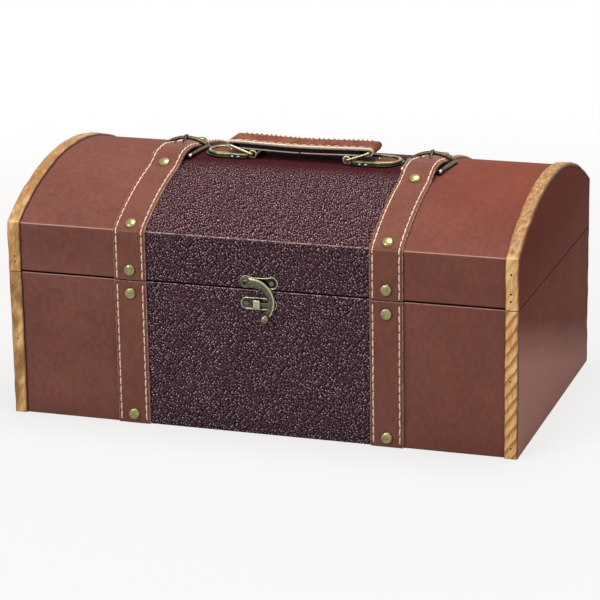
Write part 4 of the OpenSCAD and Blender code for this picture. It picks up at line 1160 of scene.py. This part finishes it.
# Strap stitching: one row of waxed cream thread along each edge of each strap, in 6.5 mm
# stitches with their ends pulled down into the leather.
thread_cream = srgb(252, 226, 210)
thread_shade = srgb(218, 180, 162)
seam_inset = 2.8 * mm
seam_margin = 0.6 * mm
stitch_length = 6.5 * mm
stitch_pitch = 7.1 * mm
thread_size = 1.15 * mm


def thread_finish(name, light, dark):
    """Waxed thread, soiled between its twists."""
    finish = Finish(name, light, 0.75, Specular_IOR_Level=0.1)
    twist = finish.cloud(finish.stretched(0.25, 0.6, 0.6, (35, 0, 0)), 2)
    soil = finish.cloud(finish.even(14), 3)
    finish.coat(finish.plus(finish.times(finish.span(twist, 0.35, 0.7), 0.5),
                            finish.times(finish.span(soil, 0.4, 0.8), 0.5)), dark)
    finish.relief(twist, 0.12)
    return finish.material


cream_thread = thread_finish("cream_thread", thread_cream, thread_shade)
dice = random.Random(5)
for body in ("base", "lid"):
    shapes = []
    for side, run in [piece[1:] for piece in strap_pieces if piece[0] == body]:
        for edge in (-1, 1):
            row = side * strap_middle + edge * (strap_width / 2 - seam_inset)
            shapes += stitches(run, right, row, stitch_length, stitch_pitch, thread_size,
                               seam_margin, run.length - seam_margin, dice)
    fix(add_piece(f"{body}_strap_stitching", joined(shapes), cream_thread), body,
        "strap_leather")

# Nails: hollow domed heads of antique brass, 9.6 mm across, with a thin rolled lip, driven
# through the straps into the boards.
tack_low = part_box("base_tacks")[0]
tack_rise = -half_depth - strap_gap - strap_thickness - tack_low.y
tack_radius = 4.8 * mm
tack_heights = {"base": (8 * mm, 109 * mm), "lid": (128.2 * mm,)}
tack_depths = (-119.9 * mm, -42.6 * mm, 44.5 * mm, 119.9 * mm)
brass_polish_highlight = srgb(240, 232, 200)


def brass_finish(name, bright, dull, deep, roughness, mottle=3.0, rubbed_and_highlit=brass_polish_highlight):
    """Aged metal: bright and dull patches, dark with patina in its hollows and with painted shade
    on the bracket flanges, and polished pale where it is rubbed, partly as a painted highlight.
    """
    finish = Finish(name, bright, roughness, 1.0)
    patina = finish.cloud(finish.even(mottle), 4, 0.6)
    speck = finish.cloud(finish.even(0.35), 3)
    finish.layer(dull, patina, 0.35, 0.68)
    finish.layer(deep, speck, 0.56, 0.74, 0.4)
    finish.layer(deep, finish.mark("patina_and_shade"), 0, 1, 0.85)
    finish.coat(finish.times(finish.mark("rubbed_and_highlit"), finish.span(patina, 0.25, 0.6, 1.0, 0.6)),
                rubbed_and_highlit)
    finish.to("Roughness", finish.span(patina, 0.3, 0.7, roughness - 0.08, roughness + 0.12))
    finish.relief(finish.plus(patina, finish.times(speck, 0.4)), 0.04, 0.6)
    return finish.material


tack_brass = brass_finish("tack_brass", bright=srgb(160, 152, 110), dull=srgb(120, 115, 78),
                          deep=srgb(74, 66, 42), roughness=0.3)
head = [(0.05, -0.55), (0.98, -0.5), (1.0, -0.1), (1.02, 0.14), (0.99, 0.3), (0.94, 0.42)]
head += [(0.94 * r, 0.42 + 0.58 * z) for r, z in arc(0, 0, 1, 12, 88, 7)]
head = [(r * tack_radius, z * tack_rise) for r, z in head]
nail = turned(head, 28)
strap_face = half_depth + strap_gap + strap_thickness
nail_search = 0.5 * mm
for body, heights in tack_heights.items():
    shapes = []
    for side in (-1, 1):
        x = side * strap_middle
        for face in (-1, 1):
            for height in heights:
                shapes.append(placed(nail, Vector((x, face * strap_face, height)), (0, face, 0)))
        over = [run for where, hand, run in strap_pieces if (where, hand) == ("lid", side)][0]
        steps = [over.spot(i * nail_search) for i in range(int(over.length / nail_search))]
        for depth in tack_depths if body == "lid" else ():
            place, way = min(steps, key=lambda found: abs(found[0].y - depth)
                             if found[0].z > crease else 1.0)
            shapes.append(placed(nail, Vector((x, place.y, place.z)), way))
    fix(add_piece(f"{body}_nails", joined(shapes), tack_brass), body, "tack_brass",
        f"{body}_tacks")

# Strap buckles: cast in antique bronze, for show. A round front bar under the strap, two flat
# sides that flare, an arched back bar over the strap, and a prong up through it.
bar_diameter = 2.6 * mm
frame_width = 4.6 * mm
frame_height = 3.0 * mm
bar_y = -24 * mm
bar_z = 197.61 * mm
arch_y = 11 * mm
arch_foot = 196.14 * mm + frame_height / 2
arch_half = 18.5 * mm
arch_rise = 6.0 * mm
bar_half = 17.1 * mm
prong_width = 2.6 * mm
prong_thickness = 1.4 * mm
curl_radius = 2.1 * mm
curl_thickness = 1.2 * mm
boss_length = 3.2 * mm
boss_width = 4.2 * mm
boss_height = 3.2 * mm

bronze_dark = brass_finish("antique_bronze", bright=srgb(98, 84, 64), dull=srgb(66, 55, 42),
                           deep=srgb(26, 21, 16), roughness=0.32, rubbed_and_highlit=srgb(252, 250, 240))
prongs = []
for side, hand in ((-1, "left"), (1, "right")):
    middle = side * strap_middle
    sweep = []
    for edge in (-1, 1):
        front = Vector((middle + edge * (bar_half - frame_width / 2), bar_y, bar_z))
        foot = Vector((middle + edge * arch_half, arch_y, arch_foot))
        sweep.append([front.lerp(foot, i / 8) for i in range(8)])
    radius = (arch_half ** 2 + arch_rise ** 2) / (2 * arch_rise)
    lean = math.degrees(math.asin(arch_half / radius))
    hub = Vector((middle, arch_y, arch_foot + arch_rise - radius))
    over = [Vector((x, arch_y, z))
            for x, z in arc(hub.x, hub.z, radius, 90 + lean, 90 - lean, 18)]
    line = sweep[0] + over + sweep[1][::-1]
    straight = [up] * len(sweep[0])
    lifts = straight + [(p - hub).normalized() for p in over] + straight
    shapes = [rod(line, frame_width, frame_height, lifts, square=3.4, sides=16)]
    ends = [Vector((middle + edge * bar_half, bar_y, bar_z)) for edge in (-1, 1)]
    shapes.append(rod(finer(ends, 6 * mm), bar_diameter, bar_diameter, up, sides=14))
    worn = [0.0] * sum(len(s[0]) for s in shapes)
    # The bosses at the ends of the front bar carry a painted highlight.
    for end, edge in zip(ends, (-1, 1)):
        boss = [end - right * edge * inset for inset in (boss_length, 0.1 * mm)]
        shapes.append(rod(boss, boss_width, boss_height, up, square=4.5, sides=16))
        worn += [1.0] * len(shapes[-1][0])
    fix(add_piece(f"buckle_{hand}_frame", joined(shapes), bronze_dark, {"rubbed_and_highlit": worn}, 50),
        "lid", "bronze", f"buckle_{hand}")
    top = arch_foot + arch_rise + frame_height / 2 + prong_thickness / 2 + 0.1 * mm
    spine = [(bar_y + 0.4 * mm, bar_z + 1.9 * mm), (-17 * mm, bar_z + 4.3 * mm),
             (-6 * mm, bar_z + 3.5 * mm), (1.5 * mm, bar_z + 2.3 * mm),
             (4.3 * mm, bar_z + 4.6 * mm), (6.6 * mm, top - 0.95 * mm), (8.6 * mm, top),
             (12.8 * mm, top - 0.2 * mm)]
    prongs.append(rod([Vector((middle, y, z)) for y, z in spine],
                      [prong_width * s for s in (1, 1, 1, 1, 1, 1.1, 1.1, 0.7)],
                      [prong_thickness * s for s in (1, 1, 1, 1, 1, 1, 1, 0.6)], up, square=2.6,
                      sides=12))
    bar = Vector((middle, bar_y, bar_z))
    curl = [Vector((middle, y, z)) for y, z in arc(bar_y, bar_z, curl_radius, 90, -270, 16)[:-1]]
    prongs.append(rod(curl, prong_width, curl_thickness, [(p - bar).normalized() for p in curl],
                      square=4, sides=10, closed=True))
shape = joined(prongs)
fix(add_piece("buckle_tongues", shape, bronze_dark, {"patina_and_shade": [0.6] * len(shape[0])}, 50),
    "lid", "bronze", "buckle_prongs")

# Handle brackets: a thin bronze flange under a cast rim, with a studded leather pad inside it,
# four bluish steel rivets, and at the inner end a tongue rolled round the bar of the ring.
flange_low, flange_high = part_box("bracket_right")
flange_reach = flange_high.x
flange_half = flange_high.y
flange_bottom = flange_low.z
flange_thickness = 0.9 * mm
eye_x = 40 * mm
eye_z = 199.4 * mm
eye_radius = 3.2 * mm
eye_half = 13.2 * mm
rim_half = 13.5 * mm
rim_end = 82.6 * mm
rim_wide = 3.5 * mm
rim_high = 2.3 * mm
rivet_places = ((51.52, 15.5), (56.64, 15.5), (51.52, -15.5), (56.64, -15.5))
stud_x, stud_y = 63 * mm, 2 * mm
neck_length = 2.6 * mm
neck_half = flange_half * 0.86

bronze_cast = brass_finish("cast_bronze", bright=srgb(134, 126, 90), dull=srgb(88, 82, 56),
                           deep=srgb(30, 26, 18), roughness=0.3, mottle=5.0)
pad_leather = strap_finish("bracket_pad_leather", colour=srgb(120, 66, 54),
                           dark=srgb(92, 50, 42), red=srgb(138, 78, 62), raw=srgb(70, 44, 34))
rivet_steel = brass_finish("blued_steel", bright=srgb(176, 184, 204), dull=srgb(122, 130, 152),
                           deep=srgb(60, 62, 74), roughness=0.22, mottle=1.2)
near_eye = eye_x + eye_radius + 0.2 * mm
stud = turned([(r * mm, z * mm) for r, z in (
    (0.05, -0.4), (1.3, -0.3), (1.35, 0.15), (1.1, 0.5), (0.6, 0.75), (0.05, 0.85))], 16)
rivet = turned([(r * mm, z * mm) for r, z in (
    (0.05, -0.9), (0.75, -0.85), (0.78, -0.05), (1.6, 0.0), (1.62, 0.2), (1.45, 0.5),
    (1.0, 0.82), (0.45, 0.97), (0.05, 1.0))], 18)


def out_of(side, x, y, z):
    """A place on the bracket of one side, with x counted outward from the lid's middle."""
    return Vector((side * x, y, z))


rivets = []
for side, hand in ((-1, "left"), (1, "right")):
    x_way = right * side
    bend = flange_reach - flange_half
    outline = [(near_eye, -neck_half), (near_eye + neck_length, -flange_half)]
    outline += arc(bend, 0, flange_half, -90, 90, 20)
    outline += [(near_eye + neck_length, flange_half), (near_eye, neck_half)]
    shapes = [plate(outline, rounded_profile(flange_thickness, 0.35 * mm),
                    Vector((0, 0, flange_bottom)), x_way, back_way * side)]
    centre = rim_half - rim_wide / 2
    bend = rim_end - rim_half
    foot_z = flange_bottom + flange_thickness
    straight = [near_eye + (bend - near_eye) * i / 6 for i in range(6)]
    line = [(x, -centre) for x in straight] + arc(bend, 0, centre, -90, 90, 18)
    line += [(x, centre) for x in reversed(straight)]
    line = [out_of(side, x, y, foot_z) for x, y in line]
    worn = [0.0] * len(shapes[0][0])
    # The flange and the foot of the rim are darkened as painted shade under the rim.
    painted_shade = [1.0] * len(shapes[0][0])
    shapes.append(rod(line, rim_wide, 2 * rim_high, up, square=2.2, sides=18, foot=0.5 * mm))
    # Painted highlight along the top of the rim.
    worn += [0.6 if p.z > foot_z + 0.95 * rim_high else 0.0 for p in shapes[-1][0]]
    painted_shade += [0.8 if p.z < foot_z + 0.4 * rim_high else 0.0 for p in shapes[-1][0]]
    curl = [(eye_radius - flange_thickness / 2) * (1 - 0.06 * i / 20) for i in range(21)]
    spiral = [out_of(side, eye_x + r * math.cos(a), 0, eye_z + r * math.sin(a))
              for r, a in zip(curl, turn_steps(-75, -395, 20))]
    tail = [out_of(side, eye_x + eye_radius + x * mm, 0, flange_bottom + 1.1 * mm)
            for x in (6.2, 4.3, 2.4)]
    leaf = tail + spiral
    curled = []
    shapes.append(band_shape(leaf, outward(leaf, (0, 2), side), back_way, -eye_half, eye_half,
                             flange_thickness, 0.3 * mm, worn=curled))
    # The rolled tongue is pale at its edges: rubbed, and partly a painted highlight.
    fix(add_piece(f"bracket_{hand}_casting", joined(shapes), bronze_cast,
                  {"rubbed_and_highlit": worn + curled, "patina_and_shade": painted_shade + [0.0] * len(curled)}, 50),
        "lid", "bronze", f"bracket_{hand}")
    pad_low, pad_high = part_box(f"bracket_pad_{hand}")
    pad_half = pad_high.y
    pad_in, pad_out = sorted((abs(pad_low.x), abs(pad_high.x)))
    pad_rise = pad_high.z - pad_low.z
    outline = [(pad_in, -pad_half), *arc(pad_out - pad_half, 0, pad_half, -90, 90, 16),
               (pad_in, pad_half)]
    profile = [(0, 0), (0, pad_rise * 0.45), (0.5 * mm, pad_rise * 0.75), (1.4 * mm, pad_rise),
               (3.0 * mm, pad_rise * 1.18), (5.5 * mm, pad_rise * 1.3),
               (8.5 * mm, pad_rise * 1.34)]
    shape = plate(outline, profile, Vector((0, 0, pad_low.z)), x_way, back_way * side)
    fix(add_piece(f"bracket_{hand}_pad", shape, pad_leather), "lid", "strap_leather",
        f"bracket_pad_{hand}")
    rivets.append(placed(stud, out_of(side, stud_x, stud_y, pad_low.z + pad_rise * 1.3), up))
    rivets += [placed(rivet, out_of(side, x * mm, y * mm, foot_z), up) for x, y in rivet_places]
fix(add_piece("bracket_rivet_heads", joined(rivets), rivet_steel), "lid", "rivet_steel",
    "bracket_rivets")

# Handle rings: 2.3 mm brass wire bent to a rectangle and soldered shut, one bar through the
# rolled eye of the bracket and one through the loop of the handle.
wire_brass = brass_finish("wire_brass", bright=srgb(180, 172, 134), dull=srgb(126, 118, 82),
                          deep=srgb(60, 52, 36), roughness=0.26, mottle=2.0)
edge_wear = 0.2 * mm
dress(["handle_ring_left", "handle_ring_right"], wire_brass, edge_wear)

# Handle: one long piece of thick leather folded round both ring bars, its ends meeting under
# the grip, with a pressed board core. The edges are painted black and sewn in coarse thread.
grip_low, grip_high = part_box("handle_grip")
grip_bottom, grip_top = grip_low.z, grip_high.z
grip_end, grip_half = grip_high.x, grip_high.y
slot_low, slot_high = 204.6 * mm, 207.8 * mm
slot_middle = (slot_low + slot_high) / 2
slot_end = 60.41 * mm
flap_end = 0.6 * mm
core_end = 51 * mm
core_half = 12.4 * mm
grip_edge = 1.0 * mm
grip_stitch = 5.2 * mm
grip_pitch = 6.9 * mm
grip_thread = 1.0 * mm
grip_sag = 1.2 * mm
grip_tan = srgb(134, 76, 54)
grip_dark = srgb(92, 50, 38)
grip_pale = srgb(176, 108, 78)
grip_pore = srgb(96, 48, 36)
edge_paint = srgb(34, 30, 32)
edge_chipped = srgb(96, 78, 66)
edge_frayed = srgb(252, 232, 214)
core_black = srgb(22, 20, 22)
core_scuffed = srgb(64, 50, 44)


def sagged(shape):
    """The middle of the grip hangs a little lower than its ends."""
    points = [p - up * grip_sag * math.cos(math.pi / 2 * min(1.0, abs(p.x) / slot_end)) ** 2
              for p in shape[0]]
    return points, shape[1]


def grip_finish():
    """Tan leather with a black painted edge that has chipped and frayed."""
    finish = Finish("grip_leather", grip_tan, 0.5, Specular_IOR_Level=0.02)
    patch = finish.cloud(finish.even(9), 4, 0.6)
    fibre = finish.cloud(finish.stretched(2.4, 0.8, 0.8), 3)
    pore = finish.cloud(finish.even(0.4), 3)
    chip = finish.cloud(finish.stretched(1.5, 1.5, 0.8), 3)
    fray = finish.cloud(finish.even(2.5), 3)
    finish.layer(grip_dark, patch, 0.35, 0.66)
    finish.layer(grip_pale, fibre, 0.55, 0.78, 0.5)
    finish.layer(grip_pore, pore, 0.55, 0.8, 0.3)
    finish.coat(finish.span(finish.mark("edge"), 0.75, 0.9),
                finish.mixed(finish.span(chip, 0.6, 0.72), edge_paint, edge_chipped))
    finish.coat(finish.times(finish.mark("rim"), finish.span(fray, 0.3, 0.6, 0.75, 1.0)),
                edge_frayed)
    finish.to("Roughness", finish.span(patch, 0.3, 0.8, 0.4, 0.55))
    finish.relief(finish.plus(finish.times(fibre, 0.5), finish.times(pore, 0.5)), 0.1, 0.7)
    return finish.material


def grip_wrap_line():
    """Inner face of the folded leather, from the left flap round both loops to the right."""
    bend = 1.5 * mm
    half = [Vector((flap_end + (slot_end - bend - flap_end) * i / 12, 0, slot_low))
            for i in range(12)]
    for height, start in ((slot_low + bend, -90), (slot_high - bend, 0)):
        half += [Vector((x, 0, z))
                 for x, z in arc(slot_end - bend, height, bend, start, start + 90, 6)]
    half += [Vector(((slot_end - bend) * (1 - i / 12), 0, slot_high)) for i in range(1, 13)]
    mirrored = [Vector((-p.x, 0, p.z)) for p in half]
    return mirrored[:-1] + half[::-1]


grip_leather = grip_finish()
line = grip_wrap_line()
normals = outward(line, (0, 2), 1)
reach = Run(line, normals)


def leather_at(share):
    """Thickness of the folded leather: the flaps are skived thinner than the top."""
    spot, normal = reach.spot(share * reach.length)
    if abs(normal.x) > 0.5:
        return grip_end - slot_end
    return slot_low - grip_bottom if spot.z < slot_middle else grip_top - slot_high


def width_at(share):
    """Half width of the folded leather, which is rounded off a little at the loops."""
    x = abs(reach.spot(share * reach.length)[0].x)
    return grip_half - 1.4 * mm * ease((x - 52 * mm) / (9 * mm))


marks = []
wrap = band_shape(line, normals, back_way, lambda s: -width_at(s), width_at, leather_at,
                  grip_edge, rows=6, worn=marks)
loop_size = len(wrap[0]) // (len(line) + 8)
across_rim = [0.2, 0.7, 1.0, 1.0, 0.8, 0.2] + [0.0] * (loop_size - 6)
rims = across_rim * (len(wrap[0]) // loop_size)
for i in range(0, len(rims), loop_size):
    if wrap[0][i].z < slot_middle:
        rims[i:i + 3] = [0.0, 1.0, 1.0]
fix(add_piece("grip_folded_leather", sagged(wrap), grip_leather, {"edge": marks, "rim": rims}),
    "handle_grip", "grip_leather", "handle_grip")
steps = [core_end * i / 8 for i in range(-8, 9)]
outline = [(x, -core_half) for x in steps] + [(x, core_half) for x in reversed(steps)]
core = plate(outline, [(0.3 * mm, 0), (0, 0.3 * mm), (0, slot_high - slot_low)],
             Vector((0, 0, slot_low)), right, back_way)
core_paint = Finish("core_edge_paint", core_black, 0.5, Specular_IOR_Level=0.06)
scuff = core_paint.cloud(core_paint.stretched(3, 3, 0.8), 4, 0.6)
core_paint.layer(core_scuffed, scuff, 0.5, 0.78)
core_paint.to("Roughness", core_paint.span(scuff, 0.3, 0.7, 0.38, 0.6))
core_paint.relief(scuff, 0.15)
fix(add_piece("grip_core", sagged(core), core_paint.material), "handle_grip", "filler",
    "grip_filler")

# Grip stitching: coarse waxed thread along the near edge of the top, and a whipped edge on the
# far side whose turns stand out over the rim.
grip_threads = thread_finish("grip_thread", light=srgb(232, 204, 178), dark=srgb(178, 132, 104))
seam_half = 55 * mm
grip_seam_inset = 1.6 * mm
whips = 27
whip_half = 54 * mm
whip_thread = 0.8 * mm
dice = random.Random(23)
crown = [Vector((seam_half * (i / 11 - 1), 0, grip_top)) for i in range(23)]
run = Run(crown, [up] * len(crown))
shapes = stitches(run, back_way, grip_seam_inset - grip_half, grip_stitch, grip_pitch,
                  grip_thread, 0.5 * mm, run.length - 0.5 * mm, dice)
for i in range(whips):
    x = whip_half * (2 * i / (whips - 1) - 1) + dice.uniform(-0.7, 0.7) * mm
    tall = dice.uniform(0.2, 1.6)
    y = grip_half - 2.4 * mm
    whip = [Vector((x, y, grip_top)) + Vector(step) * mm for step in (
        (0, 0, -0.3), (0.3, 0.9, 0.45), (0.7, 1.9, 0.2 + tall * 0.6), (1.0, 2.7, -0.4),
        (1.1, 2.5, -1.6))]
    shapes.append(rod(whip, whip_thread, whip_thread, right, sides=6, round_ends=False))
fix(add_piece("grip_stitching", sagged(joined(shapes)), grip_threads), "handle_grip",
    "grip_leather")

# Swing clasp: pressed antique brass. A two-lobed plate on the lid carries the arm on a rivet;
# the arm ends in a ball, and its tongue slides under the raised tab of the keeper below.
pivot = Vector((-8.5 * mm, 0, 125.7 * mm))
plate_reach = 21 * mm
lobe = 5.2 * mm
keeper_low, keeper_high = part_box("clasp_keeper")
tab_half = 3.3 * mm
tab_height = 7.4 * mm
tab_thickness = 1.0 * mm
tab_bend = 1.2 * mm
waist_half = 3.9 * mm
tab_reach = -keeper_low.y
arm_back = 125.4 * mm
arm_thickness = 2.0 * mm
tongue_width = 3.3 * mm
tongue_thickness = 1.2 * mm
ball = Vector((7.9 * mm, -129.0 * mm, 97.6 * mm))
ball_radius = 3.9 * mm
arm_points = ((0, 0), (7.98, 0.42), (13.86, 2.52), (18.48, 7.13), (20.69, 13.02),
              (20.58, 18.91), (18.48, 24.8), (15.33, 29.0))
arm_widths = (8.5, 7.8, 6.8, 6, 5.7, 5.4, 4.7, 4.1)

clasp_brass = brass_finish("clasp_brass", bright=srgb(114, 109, 84), dull=srgb(60, 64, 57),
                           deep=srgb(26, 25, 22), roughness=0.26, mottle=2.2)


def peanut(half_waist):
    """Outline of the two-lobed plate, counterclockwise seen from the front."""
    right_lobe = arc(plate_reach, 0, lobe, -118, 118, 12)
    middle, (edge, shoulder) = plate_reach / 2, right_lobe[-1]
    top = [(middle + (edge - middle) * math.cos(a),
            shoulder - (shoulder - half_waist) * math.sin(a)) for a in turn_steps(0, 180, 8)][1:-1]
    low = [(u, -v) for u, v in reversed(top)]
    return right_lobe + top + arc(0, 0, lobe, 62, 298, 12) + low


front_way = Vector((0, -1, 0))
relief = [(0, 0), (0, 0.6 * mm), (0.15 * mm, 0.88 * mm), (0.45 * mm, 1.0 * mm),
          (0.8 * mm, 0.9 * mm), (1.1 * mm, 0.5 * mm), (1.5 * mm, 0.42 * mm)]
patina_and_shade = [0, 0, 0, 0, 0.1, 0.9, 1.0]
# Rubbed pale on the raised rim, partly as a painted highlight.
rubbed_and_highlit = [0, 0.1, 0.5, 0.75, 0.15, 0, 0]
outline = peanut(waist_half)
shape = plate(outline, relief, Vector((pivot.x, -half_depth, pivot.z)), right, up)
fix(add_piece("clasp_upper_plate", shape, clasp_brass,
              {"patina_and_shade": per_loop(patina_and_shade, len(outline)),
               "rubbed_and_highlit": per_loop(rubbed_and_highlit, len(outline))}), "lid", "clasp_brass",
    "clasp_plate")
head = turned([(r * mm, z * mm) for r, z in (
    (0.05, -4.5), (1.2, -4.4), (1.2, 0.0), (2.2, 0.02), (2.28, 0.3), (2.0, 0.75), (1.5, 0.9),
    (1.35, 0.62), (0.7, 0.5), (0.05, 0.48))], 24)
shape = placed(head, Vector((pivot.x, -arm_back - arm_thickness - 0.05 * mm, pivot.z)),
               front_way)
fix(add_piece("clasp_rivet_head", shape, clasp_brass,
              {"patina_and_shade": per_loop((0, 0, 0.3, 0.2, 0, 0, 0.4, 1, 1, 1), 24)}),
    "lid", "clasp_brass", "clasp_rivet")
keeper_x = (keeper_low.x + keeper_high.x) / 2
keeper_z = (keeper_low.z + keeper_high.z) / 2
keeper_half = (keeper_high.z - keeper_low.z) / 2
straight = (keeper_high.x - keeper_low.x) / 2 - keeper_half
outline = arc(straight, 0, keeper_half, -90, 90, 14)
outline += [(-u, -v) for u, v in outline]
shapes = [plate(outline, relief, Vector((keeper_x, -half_depth, keeper_z)), right, up)]
marks = per_loop([0.5 * h for h in patina_and_shade], len(outline))
worn = per_loop(rubbed_and_highlit, len(outline))
inner_x = tab_thickness - tab_half
inner_y = tab_thickness - tab_reach
line = [(inner_x, -half_depth - 0.4 * mm), (inner_x, inner_y + tab_bend)]
line += arc(inner_x + tab_bend, inner_y + tab_bend, tab_bend, 180, 270, 5)
line += [(-inner_x, inner_y), (tab_half, inner_y + 0.25 * mm)]
line = [Vector((x, y, 0)) for x, y in line]
tab_z = keeper_z - tab_height / 2
tab = band_shape(line, outward(line, (0, 1), -1), up, tab_z, tab_z + tab_height, tab_thickness,
                 0.9 * mm, end=0.5 * mm)
shapes.append(tab)
marks += [0.0] * len(tab[0])
# A painted highlight on the front of the tab.
worn += [0.5 if p.y < inner_y - 0.6 * mm else 0.1 for p in tab[0]]
fix(add_piece("clasp_keeper_plate", joined(shapes), clasp_brass,
              {"patina_and_shade": marks, "rubbed_and_highlit": worn}), "base", "clasp_brass", "clasp_keeper")


def smooth_run(points, steps):
    """A smooth line through points, with the steps between each pair."""
    found = []
    for i in range(len(points) - 1):
        a, b, c, d = (Vector(points[min(max(k, 0), len(points) - 1)]) for k in range(i - 1, i + 3))
        for k in range(steps):
            t = k / steps
            found.append(0.5 * (2 * b + (c - a) * t + (2 * a - 5 * b + 4 * c - d) * t ** 2
                                + (3 * b - a - 3 * c + d) * t ** 3))
    return found + [Vector(points[-1])]


middle_y = -arm_back - arm_thickness / 2
line = [Vector((pivot.x + x * mm, middle_y, pivot.z - z * mm))
        for x, z in smooth_run(arm_points, 5)]
line = [line[0] + Vector((-1.0 * mm, 0, 0))] + line[1:]
widths = []
for i in range(len(arm_widths) - 1):
    widths += [(arm_widths[i] + (arm_widths[i + 1] - arm_widths[i]) * k / 5) * mm
               for k in range(5)]
widths.append(arm_widths[-1] * mm)
shapes = [rod(line, widths, arm_thickness, front_way, square=1.5, sides=20)]
# A painted highlight along the upper outer edge of the arm.
worn = [0.9 if 130 < 18 * (i % 20) < 160 else 0.0 for i in range(len(shapes[0][0]))]
eye = turned([(r * mm, z * mm) for r, z in (
    (0.05, 0), (3.9, 0), (4.42, 0.5), (4.42, 1.5), (4.1, 1.9), (3.6, 2.0), (3.1, 1.7),
    (2.5, 1.6), (0.05, 1.6))], 30)
shapes.append(placed(eye, Vector((pivot.x, -arm_back, pivot.z)), front_way))
tongue = [Vector((x * mm, -y * mm, keeper_z))
          for x, y in ((-0.66, 126.0), (3, 126.0), (8, 126.0), (11.8, 126.2))]
shapes.append(rod(tongue, tongue_width, tongue_thickness, front_way, square=4, sides=14))
bead = turned([(ball_radius * r, ball_radius * z) for r, z in (
    (0.02, -1.0), (0.4, -0.92), (0.75, -0.66), (0.95, -0.3), (1.0, 0.05), (0.94, 0.36),
    (0.76, 0.68), (0.42, 0.92), (0.02, 1.0))], 24)
worn += [0.0] * sum(len(s[0]) for s in shapes[1:])
shapes.append(placed(bead, ball, front_way))
worn += [0.12] * len(shapes[-1][0])
fix(add_piece("clasp_swing_arm", joined(shapes), clasp_brass, {"rubbed_and_highlit": worn}, 60),
    "clasp_arm", "clasp_brass", "clasp_arm")
screw_brass = brass_finish("screw_brass", bright=srgb(124, 122, 116), dull=srgb(66, 68, 70),
                           deep=srgb(30, 30, 32), roughness=0.16, mottle=1.2)
dress(["base_screws", "lid_screws"], screw_brass, edge_wear)

# Hinges: two plain butt hinges of folded brass on the back, their pins left in the base
# leaves, with stop lips that hold the open lid.
hinge_brass = brass_finish("hinge_brass", bright=srgb(178, 158, 100), dull=srgb(130, 112, 66),
                           deep=srgb(70, 58, 34), roughness=0.32, mottle=4.0)
dress([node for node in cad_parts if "hinge" in node], hinge_brass, edge_wear)

low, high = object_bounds()
